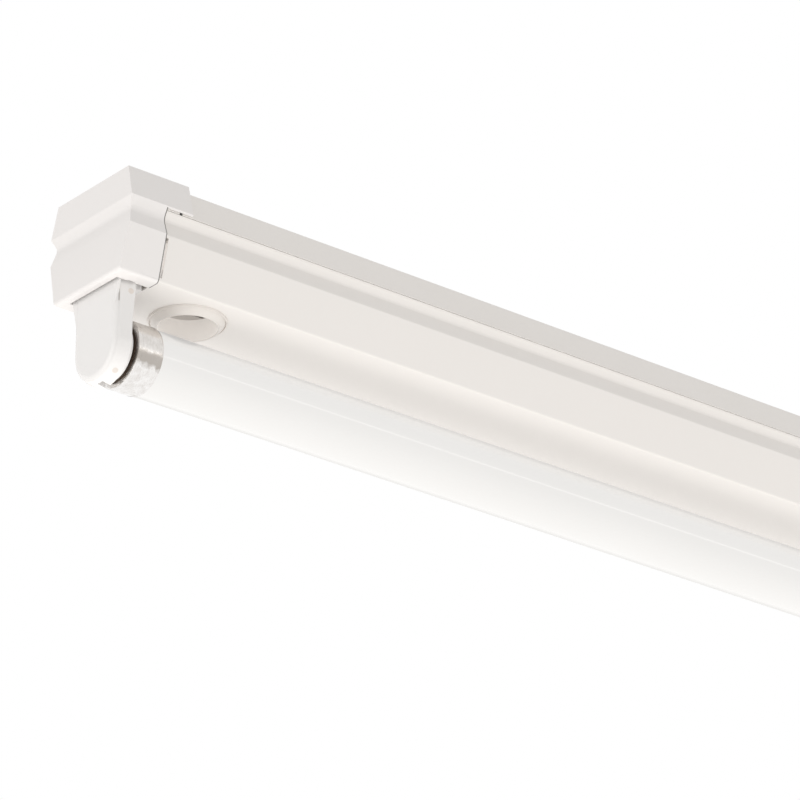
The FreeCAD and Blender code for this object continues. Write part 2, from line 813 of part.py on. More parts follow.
def make_holder_bracket():
    """Folded steel bracket: a foot under the spine's back and a plate behind the holder's foot."""
    start = bracket_plate()
    top = spine_under
    outer = [V(start, 0, -bracket_drop), V(start, 0, top), V(start + bracket_foot_length, 0, top)]
    inner = [V(start + bracket_foot_length, 0, top - bracket_sheet),
             V(start + bracket_sheet, 0, top - bracket_sheet),
             V(start + bracket_sheet, 0, -bracket_drop)]
    solid = prism([p - V(0, bracket_half_width, 0) for p in outer + inner],
                  V(0, 2 * bracket_half_width, 0))
    bend = [e for e in solid.Edges
            if abs(e.BoundBox.XMin - start) < pick_tolerance
            and abs(e.BoundBox.XMax - start) < pick_tolerance
            and abs(e.BoundBox.ZMin - top) < pick_tolerance]
    solid = solid.makeFillet(bracket_bend_radius, bend)
    solid = solid.cut(screw_hole("bracket_left").translated(V(half_length, 0, 0)))
    window_half = bracket_half_width / 2
    return solid.cut(box((start - overrun, start + bracket_sheet + gap), both_sides(window_half),
                         (-holder_top_drop + bracket_sheet, top - bracket_foot_length / 3)))


def make_lamp_tube():
    """Glass tube with its ends drawn in to the necks that take the stems."""
    radius = lamp_glass_diameter / 2
    inner = radius - lamp_glass_wall
    shoulder = lamp_cap_length / 3
    end = half_length - glass_end()
    neck = radius / 2
    outline = [(end, neck), (end, radius - shoulder), (end - shoulder, radius),
               (-end + shoulder, radius), (-end, radius - shoulder), (-end, neck),
               (-end + lamp_glass_wall, neck),
               (-end + lamp_glass_wall, inner - shoulder), (-end + shoulder, inner),
               (end - shoulder, inner), (end - lamp_glass_wall, inner - shoulder),
               (end - lamp_glass_wall, neck)]
    flat = Part.Face(loop([V(x, r, 0) for x, r in outline]))
    return flat.revolve(V(0, 0, 0), V(1, 0, 0), 360).translated(V(0, 0, -lamp_axis_drop))


def glass_end():
    """X of the glass tube's end, just behind the insulating disc."""
    return insulator_span()[1] + gap


def lamp_turned(points_xr):
    """Polygon of (x, radius) points, turned about the lamp's axis."""
    flat = Part.Face(loop([V(x, r, 0) for x, r in points_xr]))
    return flat.revolve(V(0, 0, 0), V(1, 0, 0), 360).translated(V(0, 0, -lamp_axis_drop))


def make_lamp_cap():
    """Thin aluminium shell with a rolled end ring and a bead at its mouth."""
    radius = lamp_cap_diameter / 2
    inner = lamp_glass_diameter / 2
    face = lamp_face
    mouth = face + lamp_cap_length
    ring = insulator_radius()
    bead = lamp_cap_sheet
    return lamp_turned([(face + bead, radius), (mouth - 3 * bead, radius),
                        (mouth - 2 * bead, radius + bead / 2), (mouth - bead, radius + bead / 2),
                        (mouth, radius), (mouth, inner), (face + 2 * bead, inner),
                        (face + 2 * bead, ring), (face, ring), (face, radius - bead)])


def insulator_radius():
    """Radius of the insulating disc inside the cap's end ring."""
    return lamp_cap_diameter / 2 - 5 * lamp_cap_sheet


def make_insulator():
    """Insulating disc, set back a little in the cap's end, with holes for the pins."""
    start, end = insulator_span()
    disc = lamp_turned([(start, 0), (start, insulator_radius()), (end, insulator_radius()), (end, 0)])
    for side in (-1, 1):
        z = -lamp_axis_drop + side * pin_offset
        disc = disc.cut(rod(pin_radius, V(start - overrun, 0, z), V(end + overrun, 0, z)))
    return disc


def insulator_span():
    """Start and end of the insulating disc, set back by the thickness of the cap's sheet."""
    start = lamp_face + lamp_cap_sheet
    return start, start + insulator_thickness


def make_pins():
    """Two pins with bevelled noses, drawn in line with the holder's slot."""
    tip = lamp_face - pin_length
    root = insulator_span()[1]
    pins = []
    for side in (-1, 1):
        z = -lamp_axis_drop + side * pin_offset
        pin = rod(pin_radius, V(tip, 0, z), V(root, 0, z))
        nose = [e for e in pin.Edges if e.BoundBox.XMax < tip + gap]
        pins.append(pin.makeChamfer(pin_radius / 3, nose))
    return Part.makeCompound(pins)


def make_electrode():
    """Glass stem that closes the tube's neck, with two lead wires and a coil across them."""
    outer_end = glass_end()
    axis = -lamp_axis_drop
    neck = lamp_glass_diameter / 4
    pinch = pin_radius
    stem = lamp_turned([(outer_end + lamp_glass_wall, 0), (outer_end + lamp_glass_wall, neck - gap / 2),
                        (outer_end + 2 * lamp_glass_wall, neck - gap / 2),
                        (outer_end + lamp_cap_length, pinch), (outer_end + lamp_cap_length, 0)])
    post = outer_end + lamp_cap_length * 2
    wire = pin_radius / 4
    for side in (-1, 1):
        foot = V(outer_end + lamp_cap_length - gap, side * pinch / 2, axis)
        stem = stem.fuse(rod(wire, foot, V(post, side * neck, axis)))
    stem = stem.fuse(rod(2 * wire, V(post, -neck - wire, axis), V(post, neck + wire, axis)))
    return stem.removeSplitter()


def ballast_span():
    """Start and end of the ballast's base, which ends a lug's length past the coil."""
    return ballast_from_centre, core_span()[1] + coil_end_length + ballast_lug()


def core_span():
    """Start and end of the ballast's core, beyond the left lug, the terminals and the coil's end."""
    start = ballast_terminal_span()[1] + gap + coil_end_length
    return start, start + core_length


def core_levels():
    """Bottom and top of the core, which stands on the base."""
    top = spine_under - ballast_sheet
    return top - core_height, top


def make_ballast_base():
    """Pressed base: flat with lugs at both ends and two low walls along the core."""
    start, end = ballast_span()
    core_start, core_end = core_span()
    top = spine_under
    half = ballast_width / 2 + ballast_sheet
    base = box((start, end), both_sides(half), (top - ballast_sheet, top))
    for side in (-1, 1):
        inner = side * ballast_width / 2
        outer = side * half
        base = base.fuse(box((core_start, core_end), (min(inner, outer), max(inner, outer)),
                             (top - ballast_wall_height, top)))
    base = base.cut(screw_hole("ballast_left")).cut(screw_hole("ballast_right"))
    return base.removeSplitter()


def make_ballast_core():
    """Laminated core with two windows right through and a weld groove down each side."""
    low, high = core_levels()
    core = box(core_span(), both_sides(ballast_width / 2 - gap), (low, high))
    middle = (low + high) / 2
    for side in (-1, 1):
        inner = side * core_limb_width / 2
        outer = side * (core_limb_width / 2 + core_window_width)
        core = core.cut(box((core_span()[0] - overrun, core_span()[1] + overrun),
                            (min(inner, outer), max(inner, outer)),
                            (middle - core_window_height / 2, middle + core_window_height / 2)))
        wall = side * (ballast_width / 2 - gap - core_weld_depth)
        out = side * (ballast_width / 2 + overrun)
        for share in core_weld_shares:
            x = core_span()[0] + share * core_length
            core = core.cut(box((x - core_weld_width / 2, x + core_weld_width / 2),
                                (min(wall, out), max(wall, out)), (low - overrun, high + overrun)))
    return core.removeSplitter()


def make_ballast_coil():
    """Winding round the core's middle limb, with its turns standing out at both ends."""
    low, high = core_levels()
    middle = (low + high) / 2
    start, end = core_span()
    half_height = core_window_height / 2 - coil_gap
    outer_half = core_limb_width / 2 + core_window_width - coil_gap
    inner_half = core_limb_width / 2 + coil_gap
    outer = rounded_box((start - coil_end_length, end + coil_end_length), both_sides(outer_half),
                        (middle - half_height, middle + half_height), coil_corner_radius)
    return outer.cut(box((start - coil_gap, end + coil_gap), both_sides(inner_half),
                         (middle - half_height - overrun, middle + half_height + overrun)))


def ballast_terminal_span():
    """Start and end of the ballast's terminal block, next to the left lug."""
    start = ballast_from_centre + ballast_lug()
    return start, start + ballast_terminal_length


def make_ballast_terminal():
    """Push-in terminal block on the base, with two wire entries."""
    start, end = ballast_terminal_span()
    top = spine_under - ballast_sheet
    block = box((start, end), both_sides(ballast_terminal_width / 2),
                (top - ballast_terminal_height, top))
    lower_edges = [e for e in block.Edges if e.BoundBox.ZMax < top - ballast_terminal_height + gap]
    block = block.makeChamfer(ballast_terminal_height / 12, lower_edges)
    for side in (-1, 1):
        entry = ballast_entry(side)
        block = block.cut(rod(wire_bore_radius(), entry - V(overrun + wire_entry_depth(), 0, 0), entry))
    return block


def ballast_entry(side):
    """Inner end of a wire in the ballast's terminal block."""
    return V(ballast_terminal_span()[0] + wire_entry_depth(), side * ballast_terminal_width / 4,
             spine_under - ballast_sheet - ballast_terminal_height / 2)


def wire_entry_depth():
    """How deep a wire goes into a terminal."""
    return 2 * wire_diameter


def make_capacitor():
    """Can with a bevelled rim and two terminal posts in its right end."""
    start = -capacitor_from_centre
    end = start + capacitor_length
    radius = capacitor_diameter / 2
    y, z = capacitor_axis()
    can = rod(radius, V(start, y, z), V(end, y, z))
    ends = [e for e in can.Edges if e.BoundBox.XMax < start + gap]
    can = can.makeChamfer(capacitor_rim, ends)
    can = can.cut(rod(radius - capacitor_rim, V(end - capacitor_rim, y, z), V(end + overrun, y, z)))
    for side in (-1, 1):
        entry = capacitor_entry(side)
        can = can.fuse(rod(wire_diameter, V(end - 2 * capacitor_rim, entry.y, z),
                           V(end + capacitor_rim, entry.y, z)))
        can = can.cut(rod(wire_bore_radius(), entry, V(end + overrun, entry.y, z)))
    return can.removeSplitter()


def capacitor_entry(side):
    """Inner end of a wire in one of the capacitor's posts."""
    y, z = capacitor_axis()
    end = capacitor_length - capacitor_from_centre
    return V(end - wire_diameter, y + side * capacitor_diameter / 6, z)


def capacitor_axis():
    """Y and Z of the capacitor's axis, just clear of the spine."""
    z = spine_under - clip_sheet - capacitor_stand_off / 2 - capacitor_diameter / 2
    return capacitor_shift(), z


def make_capacitor_clip():
    """Sprung C-shaped clip round the can, with a tab screwed to the spine."""
    middle = -capacitor_from_centre + capacitor_length / 2
    y, z = capacitor_axis()
    inner = capacitor_diameter / 2 + gap
    span = (middle - clip_width / 2, middle + clip_width / 2)
    ring = rod(inner + clip_sheet, V(span[0], y, z), V(span[1], y, z))
    ring = ring.cut(rod(inner, V(span[0] - overrun, y, z), V(span[1] + overrun, y, z)))
    reach = 2 * inner
    angle = math.radians(clip_opening_half_angle)
    across_mouth = reach * math.sin(angle)
    mouth_level = z - reach * math.cos(angle)
    mouth = along_x([(y, z), (y - across_mouth, mouth_level), (y, z - 2 * reach),
                     (y + across_mouth, mouth_level)], span)
    ring = ring.cut(mouth)
    tab_end = capacitor_clip_tab_y() - screw_head_radius
    tab = box(span, (tab_end, y), (spine_under - clip_sheet, spine_under))
    tab = tab.cut(rod(inner, V(span[0] - overrun, y, z), V(span[1] + overrun, y, z)))
    return ring.fuse(tab).removeSplitter().cut(screw_hole("capacitor_clip"))


def terminal_span():
    """Start and end of the mains terminal block."""
    return -terminal_from_centre - terminal_length / 2, -terminal_from_centre + terminal_length / 2


def terminal_places():
    """Y of each way of the terminal block."""
    return [(index - (terminal_ways - 1) / 2) * terminal_pitch for index in range(terminal_ways)]


def terminal_levels():
    """Bottom and top of the block, and the level of its wire bores."""
    top = spine_under
    return top - terminal_height, top, top - terminal_height / 2


def terminal_entry(way, side, shift=0):
    """Inner end of a wire in a way of the block; shift puts two wires side by side."""
    x = -terminal_from_centre + side * (terminal_length / 2 - wire_run / 2)
    y = terminal_places()[way] + shift * (wire_diameter + gap) / 2
    return V(x, y, terminal_levels()[2])


def make_terminal_block():
    """Moulded block with one bore and two screw towers per way, and a fixing foot."""
    start, end = terminal_span()
    low, top, bore = terminal_levels()
    half = terminal_ways * terminal_pitch / 2
    block = box((start, end), both_sides(half), (low, top))
    foot = box((end, end + 2 * screw_head_radius + clip_sheet), both_sides(screw_head_radius),
               (top - clip_sheet, top))
    block = block.fuse(foot)
    tower_foot = low - terminal_tower_height
    for y in terminal_places():
        for side in (-1, 1):
            x = -terminal_from_centre + side * terminal_length / 4
            block = block.fuse(rod(terminal_tower_radius, V(x, y, tower_foot), V(x, y, bore)))
            block = block.cut(rod(terminal_screw_radius + 2 * gap, V(x, y, tower_foot - overrun),
                                  V(x, y, bore)))
        block = block.cut(insert_bar(y, (start - overrun, end + overrun), gap))
    return block.cut(screw_hole("mains_block")).removeSplitter()


def insert_bar(y, x_span, room):
    """Square bar of one way of the terminal block, with room round it."""
    half = terminal_bore_radius + insert_wall + room
    bore = terminal_levels()[2]
    return box(x_span, (y - half, y + half), (bore - half, bore + half))


def make_terminal_inserts():
    """Square brass bars in the block, one per way, bored for the wires and the clamping screws."""
    start, end = terminal_span()
    bore = terminal_levels()[2]
    tubes = []
    for y in terminal_places():
        tube = insert_bar(y, (start + insert_wall, end - insert_wall), 0)
        tube = tube.cut(rod(terminal_bore_radius, V(start - overrun, y, bore),
                            V(end + overrun, y, bore)))
        for side in (-1, 1):
            x = -terminal_from_centre + side * terminal_length / 4
            tube = tube.cut(rod(terminal_screw_radius + gap, V(x, y, bore - overrun), V(x, y, bore)))
        tubes.append(tube)
    return Part.makeCompound(tubes)


def make_terminal_screws():
    """Slotted clamping screws, two per way, with their heads down in the towers."""
    low, top, bore = terminal_levels()
    screws = []
    for y in terminal_places():
        for side in (-1, 1):
            x = -terminal_from_centre + side * terminal_length / 4
            foot = low - terminal_tower_height + screw_slot_depth
            tip = bore - wire_diameter / 2 - gap
            screw = rod(terminal_screw_radius, V(x, y, foot), V(x, y, tip))
            screw = screw.cut(box((x - terminal_screw_radius, x + terminal_screw_radius),
                                  (y - screw_slot_width / 2, y + screw_slot_width / 2),
                                  (foot - overrun, foot + screw_slot_depth)))
            screws.append(screw)
    return Part.makeCompound(screws)


def pan_screw(x, y, seat, length):
    """Pan head screw that points up, its head seated below a level."""
    shank = rod(screw_radius, V(x, y, seat), V(x, y, seat + length))
    head = rod(screw_head_radius, V(x, y, seat - screw_head_height), V(x, y, seat))
    rim = [e for e in head.Edges if e.BoundBox.ZMax < seat - screw_head_height / 2]
    head = head.makeChamfer(screw_head_height / 2, rim)
    return shank.fuse(head).removeSplitter()


def make_gear_screws():
    """Pan head screws that hold the gear to the spine's back."""
    screws = []
    for x, y, thickness, tip_drop in screw_places().values():
        seat = spine_under - thickness
        screws.append(pan_screw(x, y, seat, min(screw_length, -seat - tip_drop)))
    return Part.makeCompound(screws)


def make_earth_screw():
    """Earth screw with its cup washer, under the spine's back."""
    y = earth_y()
    washer = rod(screw_head_radius + clip_sheet, V(earth_place(), y, spine_under - clip_sheet),
                 V(earth_place(), y, spine_under))
    screw = pan_screw(earth_place(), y, spine_under - clip_sheet, clip_sheet - gap)
    return washer.fuse(screw).removeSplitter()


def earth_y():
    """Y of the earth screw."""
    return top_half_width / 2 + screw_head_radius


def earth_place():
    """X of the earth screw, between the terminal block and the centre pad."""
    return -earth_from_centre


def make_grommet():
    """Rubber grommet snapped into the cable hole of the centre pad."""
    radius = cable_hole_diameter / 2
    inner = radius - grommet_wall - grommet_flange
    low = -sheet - gap / 2
    return revolved([(inner, -gap), (radius - gap / 2, -gap), (radius - gap / 2, low),
                     (radius + grommet_flange, low),
                     (radius + grommet_flange, low - grommet_flange_height),
                     (inner + grommet_wall, low - grommet_height), (inner, low - grommet_height)],
                    V(0, 0, 0))


def make_cover_clips():
    """Sprung saddles under the spine whose elbows lie below the bulge of the cover's cove."""
    clips = []
    top = spine_under
    thick = cover_clip_sheet
    cove_z = -cove_drop
    wall = (cover_top_half_width + lower_ridge_half_width - cover_inset) / 2 - cove_depth - sheet
    elbow = wall - cover_clip_relief
    leg = top_half_width - flange_inset - sheet - 2 * cover_clip_sheet
    elbow_z = cove_z - cove_depth
    foot_z = elbow_z - 2 * cove_depth
    half = [(leg, top), (leg - thick, elbow_z + cove_depth), (elbow, elbow_z),
            (leg - thick, foot_z), (leg - 2 * thick, foot_z), (elbow - thick, elbow_z),
            (leg - 2 * thick, elbow_z + cove_depth), (leg - thick, top - thick)]
    left = [(-y, z) for y, z in half]
    outline = half + list(reversed(left))
    for place in (-cover_clip_from_centre, half_length - cover_clip_from_end):
        clips.append(along_x(outline, (place - cover_clip_width / 2, place + cover_clip_width / 2)))
    return Part.makeCompound(clips)


def starter_holder_levels():
    """Bottom and top of the starter holder, which hangs from the spine's back."""
    return spine_under - starter_holder_height, spine_under


def make_starter_holder():
    """Moulded socket with two bayonet slots in its lower face."""
    low, top = starter_holder_levels()
    half = starter_holder_length / 2
    body = rounded_box((starter_place - half, starter_place + half),
                       both_sides(starter_holder_width / 2), (low, top), starter_holder_corner)
    centre = V(starter_place, 0, low - overrun)
    depth = overrun + starter_slot_depth
    outer = pin_offset + starter_slot_width / 2
    inner = pin_offset - starter_slot_width / 2
    ring = rod(outer, centre, centre + V(0, 0, depth)).cut(rod(inner, centre, centre + V(0, 0, depth)))
    angle = math.radians(starter_slot_half_angle)
    along = starter_holder_width * math.cos(angle)
    beside = starter_holder_width * math.sin(angle)
    for side in (-1, 1):
        wedge = prism([centre, centre + V(side * along, -beside, 0),
                       centre + V(side * along, beside, 0)], V(0, 0, depth))
        body = body.cut(ring.common(wedge))
    for side in (-1, 1):
        entry = starter_entry(side)
        body = body.cut(rod(wire_bore_radius(), entry - V(side * gap, 0, 0),
                            entry + V(side * overrun, 0, 0)))
    return body.cut(starter_pockets()).removeSplitter()


def starter_entry(side):
    """End of a wire against a starter contact."""
    low = starter_holder_levels()[0]
    return V(starter_contact_x(side) + side * gap, 0, low + wire_diameter + 3 * gap)


def starter_contact_x(side):
    """Outer face of a starter contact."""
    return starter_place + side * (starter_holder_length / 2 - 2 * starter_contact_thickness)


def starter_pockets():
    """Pockets in the socket for its two contacts."""
    low, top = starter_holder_levels()
    pockets = []
    for side in (-1, 1):
        outer = starter_contact_x(side) + side * gap
        inner = starter_contact_x(side) - side * (starter_contact_thickness + gap)
        pockets.append(box((min(inner, outer), max(inner, outer)),
                           both_sides(starter_contact_width / 2 + gap),
                           (low + 2 * starter_contact_thickness, top + overrun)))
    return Part.makeCompound(pockets)


def make_starter_contacts():
    """Two bronze strips standing in the socket's pockets."""
    low, top = starter_holder_levels()
    strips = []
    for side in (-1, 1):
        outer = starter_contact_x(side)
        inner = starter_contact_x(side) - side * starter_contact_thickness
        strips.append(box((min(inner, outer), max(inner, outer)), both_sides(starter_contact_width / 2),
                          (low + 2 * starter_contact_thickness + gap, top - gap)))
    return Part.makeCompound(strips)


def wire_along(points):
    """Insulated wire: straight runs joined by arcs as large as its runs allow."""
    radii = []
    for index in range(1, len(points) - 1):
        before = (points[index] - points[index - 1]).Length
        after = (points[index + 1] - points[index]).Length
        turn = (points[index] - points[index - 1]).getAngle(points[index + 1] - points[index])
        radii.append(bend_share * min(before, after) / math.tan(turn / 2))
    route = rounded_route(points, radii)
    disc = Part.Wire(Part.makeCircle(wire_diameter / 2, points[0], points[1] - points[0]))
    solid = route.makePipeShell([disc], True, False)
    section = math.pi * wire_diameter ** 2 / 4
    print("  wire length", round(route.Length, 1),
          "volume ratio", round(solid.Volume / section / route.Length, 3),
          "tightest bend", round(min(radii), 1))
    return solid


def lane(x, side):
    """Point of a wire on its way along the spine, beside the gear."""
    return V(x, side * lane_half_width, -lane_drop)


def wide_lane(x, side):
    """Point of a wire between the ballast's wall and the spine's flange."""
    y = ballast_width / 2 + ballast_sheet + wire_diameter / 2 + wide_lane_play
    return V(x, side * y, -lane_drop)


def holder_tail(end, side):
    """Points of a wire from its lane down to a contact of the lampholder at one end."""
    x = (contact_span()[0] + contact_span()[1]) / 2
    y = contact_y() + contact_thickness / 2
    fall = holder_top_drop - lane_drop
    beside = bracket_half_width + wire_diameter
    lane_end = bracket_plate() + bracket_foot_length / 2
    points = [(lane_end, lane_half_width, lane_drop),
              (bracket_plate() - wire_diameter, beside, lane_drop + tail_fall_shares[0] * fall),
              (x, (beside + 2 * y) / 3, lane_drop + tail_fall_shares[1] * fall),
              (x, y, lane_drop + tail_fall_shares[2] * fall),
              (x, y, contact_top_drop - gap)]
    return [V(end * (half_length - px), side * py, -pz) for px, py, pz in points]


def past_ballast(side):
    """Points of a wire that passes the ballast between its wall and the spine."""
    start, end = ballast_span()
    count = math.ceil((end - start) / wire_reach)
    points = []
    for index in range(count + 1):
        stray = wide_lane_play * lane_stray_shares[index % len(lane_stray_shares)]
        x = start + (end - start) * index / count
        points.append(wide_lane(x, side) + V(0, side * stray, 0))
    return points + [lane(end + wire_shift, side)]


def make_live_wire():
    """From the mains block to the ballast."""
    start = terminal_entry(0, 1)
    end = ballast_entry(-1)
    beside = -cable_hole_diameter / 2 - grommet_flange
    return wire_along([start, start + V(wire_run + wire_run / 2, 0, 0),
                       V(-cable_hole_diameter, beside, end.z), V(cable_hole_diameter, beside, end.z),
                       end - V(wire_run + wire_entry_depth(), 0, 0), end])


def make_neutral_wire():
    """From the mains block to the left lampholder."""
    start = terminal_entry(terminal_ways - 1, -1, 1)
    out = start - V(wire_run + wire_run / 2, 0, 0)
    return wire_along([start, out, lane(out.x - wire_shift, 1)] + holder_tail(-1, 1))


def make_ballast_wire():
    """From the ballast to the right lampholder, turning back past the ballast."""
    start = ballast_entry(1)
    turn_x = start.x - wire_entry_depth() - wide_lane(0, 1).y + start.y
    return wire_along([start, V(turn_x, start.y, start.z), wide_lane(turn_x, 1)]
                      + past_ballast(1)[1:] + holder_tail(1, 1))


def make_starter_right_wire():
    """From the starter holder along the whole spine to the right lampholder."""
    start = starter_entry(1)
    return wire_along([start, start + V(wire_run, 0, 0), lane(start.x + 2 * wire_run, -1)]
                      + along_lane(start.x + 2 * wire_run, ballast_span()[0] - wire_shift, -1)
                      + past_ballast(-1) + holder_tail(1, -1))


def along_lane(start, end, side):
    """Points of a wire along its lane, which wanders a little between them."""
    count = math.ceil((end - start) / wire_reach)
    points = []
    for index in range(1, count + 1):
        stray = lane_stray * lane_stray_shares[index % len(lane_stray_shares)]
        points.append(lane(start + (end - start) * index / count, side) + V(0, stray, 0))
    return points


def make_starter_left_wire():
    """From the starter holder through the bracket's window to the left lampholder."""
    start = starter_entry(-1)
    x = (contact_span()[0] + contact_span()[1]) / 2 - half_length
    y = contact_y() + contact_thickness / 2
    window = bracket_plate() - half_length
    fall = holder_top_drop - lane_drop
    return wire_along([start, V((start.x + window) / 2, 0, start.z - wire_diameter / 3),
                       V(window - wire_diameter, -y / 3, -lane_drop - window_fall_shares[0] * fall),
                       V(x, -y, -lane_drop - window_fall_shares[1] * fall),
                       V(x, -y, -contact_top_drop + gap)])


def make_capacitor_wires():
    """From the capacitor's posts to the live and neutral ways of the mains block."""
    wires = []
    for side, way, shift in ((-1, 0, 0), (1, terminal_ways - 1, -1)):
        start = capacitor_entry(side)
        end = terminal_entry(way, -1, shift)
        out = end - V(wire_run, 0, 0)
        first = start + V(wire_run, 0, 0)
        wires.append(wire_along([start, first, out, end]))
    return Part.makeCompound(wires)


def make_earth_wire():
    """From the middle way of the mains block to the earth screw."""
    start = terminal_entry(1, 1)
    end = V(earth_place(), earth_y() - screw_head_radius - clip_sheet - gap,
            spine_under - wire_diameter / 2 - gap)
    return wire_along([start, V(earth_place() - wire_run / 2, 0, start.z),
                       V(earth_place(), end.y / 2, (start.z + end.z) / 2), end])


plate, body = make_holder_pieces()
save(make_spine(), "spine")
save(make_cover(), "cover")
save_pair(make_end_cap(), "end_cap")
save(make_starter_bush(), "starter_hole_bush")
save_pair(plate, "lampholder_back")
save_pair(body, "lampholder_body")
save_pair(make_rotor(), "rotor")
save_pair(make_contacts(), "lampholder_contacts")
save_pair(make_holder_bracket(), "lampholder_bracket")
save(make_lamp_tube(), "lamp_tube")
save_pair(make_lamp_cap(), "lamp_cap")
save_pair(make_insulator(), "lamp_insulator")
save_pair(make_pins(), "lamp_pins")
save_pair(make_electrode(), "lamp_electrode")
save(make_ballast_base(), "ballast_base")
save(make_ballast_core(), "ballast_core")
save(make_ballast_coil(), "ballast_coil")
save(make_ballast_terminal(), "ballast_terminal")
save(make_capacitor(), "capacitor")
save(make_capacitor_clip(), "capacitor_clip")
save(make_terminal_block(), "terminal_block")
save(make_terminal_inserts(), "terminal_inserts")
save(make_terminal_screws(), "terminal_screws")
save(make_gear_screws(), "gear_screws")
save(make_earth_screw(), "earth_screw")
save(make_grommet(), "cable_grommet")
save(make_cover_clips(), "cover_clips")
save(make_starter_holder(), "starter_holder")
save(make_starter_contacts(), "starter_contacts")
save(make_live_wire(), "wire_live")
save(make_neutral_wire(), "wire_neutral")
save(make_ballast_wire(), "wire_ballast_lamp")
save(make_starter_right_wire(), "wire_starter_right")
save(make_starter_left_wire(), "wire_starter_left")
save(make_capacitor_wires(), "wire_capacitor")
save(make_earth_wire(), "wire_earth")
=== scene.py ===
# %% [markdown]
# # A ceiling batten with one fluorescent lamp
# The imported model arrives as a fixed frame: one mesh for each separate part, all in metres and
# in their real places. The looks are built around it and measured on it where they can be.

# %% Load the frame
import json
import math

import bmesh
import bpy
from mathutils import Matrix, Vector


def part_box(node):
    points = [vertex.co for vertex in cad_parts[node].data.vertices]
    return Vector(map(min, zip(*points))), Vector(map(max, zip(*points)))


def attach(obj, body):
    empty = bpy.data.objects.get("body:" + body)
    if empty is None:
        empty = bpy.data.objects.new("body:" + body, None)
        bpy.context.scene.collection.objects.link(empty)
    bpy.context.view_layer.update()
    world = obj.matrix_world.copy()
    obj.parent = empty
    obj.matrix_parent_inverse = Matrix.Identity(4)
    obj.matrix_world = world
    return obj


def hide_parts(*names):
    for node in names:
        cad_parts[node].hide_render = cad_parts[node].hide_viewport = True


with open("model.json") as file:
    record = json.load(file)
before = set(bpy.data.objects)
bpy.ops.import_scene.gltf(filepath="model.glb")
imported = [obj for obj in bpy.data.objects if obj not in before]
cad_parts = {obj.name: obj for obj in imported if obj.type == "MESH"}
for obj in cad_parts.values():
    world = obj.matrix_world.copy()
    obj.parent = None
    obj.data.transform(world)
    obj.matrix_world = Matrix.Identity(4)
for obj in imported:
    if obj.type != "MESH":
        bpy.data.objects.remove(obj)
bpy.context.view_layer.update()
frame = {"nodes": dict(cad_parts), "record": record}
nodes = frame["nodes"]

# %% [markdown]
# ## The camera
# The photograph looks up at the near end of the fitting with a long lens, from below and from
# the left. A camera is three things: a place, a direction and a focal length. The direction is
# given as two angles, because turning about the vertical and tilting up are how a photographer
# would aim. The small roll is the lean of the hand.

# %% Camera
CAMERA_PLACE = (-1.22528, -1.30807, -0.82068)
LENS_MM = 221.93
turn_angle = math.radians(50.957)
tilt_angle = math.radians(24.78)
roll_angle = math.radians(0.18)
camera_data = bpy.data.cameras.new("camera")
camera_data.sensor_width = 36.0
camera_data.lens = LENS_MM
camera_data.clip_end = 50.0
camera = bpy.data.objects.new("camera", camera_data)
bpy.context.scene.collection.objects.link(camera)
aim = Vector((math.cos(turn_angle) * math.cos(tilt_angle),
              math.sin(turn_angle) * math.cos(tilt_angle), math.sin(tilt_angle)))
facing_aim = aim.to_track_quat("-Z", "Y").to_matrix().to_4x4()
camera.matrix_world = (Matrix.Translation(CAMERA_PLACE) @ facing_aim
                       @ Matrix.Rotation(roll_angle, 4, "Z"))
bpy.context.scene.camera = camera
print("camera aims along", [round(value, 3) for value in aim])

# %% [markdown]
# ## Light and background
# White parts on a white ground only read if the light is gentle and comes from somewhere. The
# world gives a soft even light, and is white where the camera, a mirror or glass looks straight
# at it. A helper adds the Math nodes that tell these rays apart.


# %% World
def do_math(tree, operation, first, second=0.0):
    """Math node on one or two sockets or numbers."""
    node = tree.nodes.new("ShaderNodeMath")
    node.operation = operation
    for socket, value in zip(node.inputs, (first, second)):
        if isinstance(value, (int, float)):
            socket.default_value = value
        else:
            tree.links.new(value, socket)
    return node.outputs[0]


SKY_LEVEL = 0.675
world = bpy.data.worlds.new("studio")
bpy.context.scene.world = world
world.use_nodes = True
sky = world.node_tree
sky.nodes.clear()
rays = sky.nodes.new("ShaderNodeLightPath")
seen = do_math(sky, "MAXIMUM", rays.outputs["Is Camera Ray"], rays.outputs["Is Glossy Ray"])
seen_at_all = do_math(sky, "MAXIMUM", seen, rays.outputs["Is Transmission Ray"])
soft_light = sky.nodes.new("ShaderNodeBackground")
soft_light.inputs["Color"].default_value = (1.0, 0.99, 0.98, 1.0)
soft_light.inputs["Strength"].default_value = SKY_LEVEL
white_ground = sky.nodes.new("ShaderNodeBackground")
white_ground.inputs["Color"].default_value = (1.0, 1.0, 1.0, 1.0)
choose = sky.nodes.new("ShaderNodeMixShader")
sky.links.new(seen_at_all, choose.inputs[0])
sky.links.new(soft_light.outputs[0], choose.inputs[1])
sky.links.new(white_ground.outputs[0], choose.inputs[2])
world_out = sky.nodes.new("ShaderNodeOutputWorld")
sky.links.new(choose.outputs[0], world_out.inputs["Surface"])
bpy.context.scene.view_settings.view_transform = "Standard"

# %% [markdown]
# A very wide lamp lies far below and points up. It makes the bottom the brightest face, as it is
# in the photograph, and it is so wide that the tube throws hardly any shadow on the cover. A
# smaller one fills in the side that is seen. Neither shows in reflections, so metal mirrors
# mostly the white world. A thin strip off to the side is there for its reflection: it draws the
# long streak on the glass. The last one stands beyond the near end and lights its face.


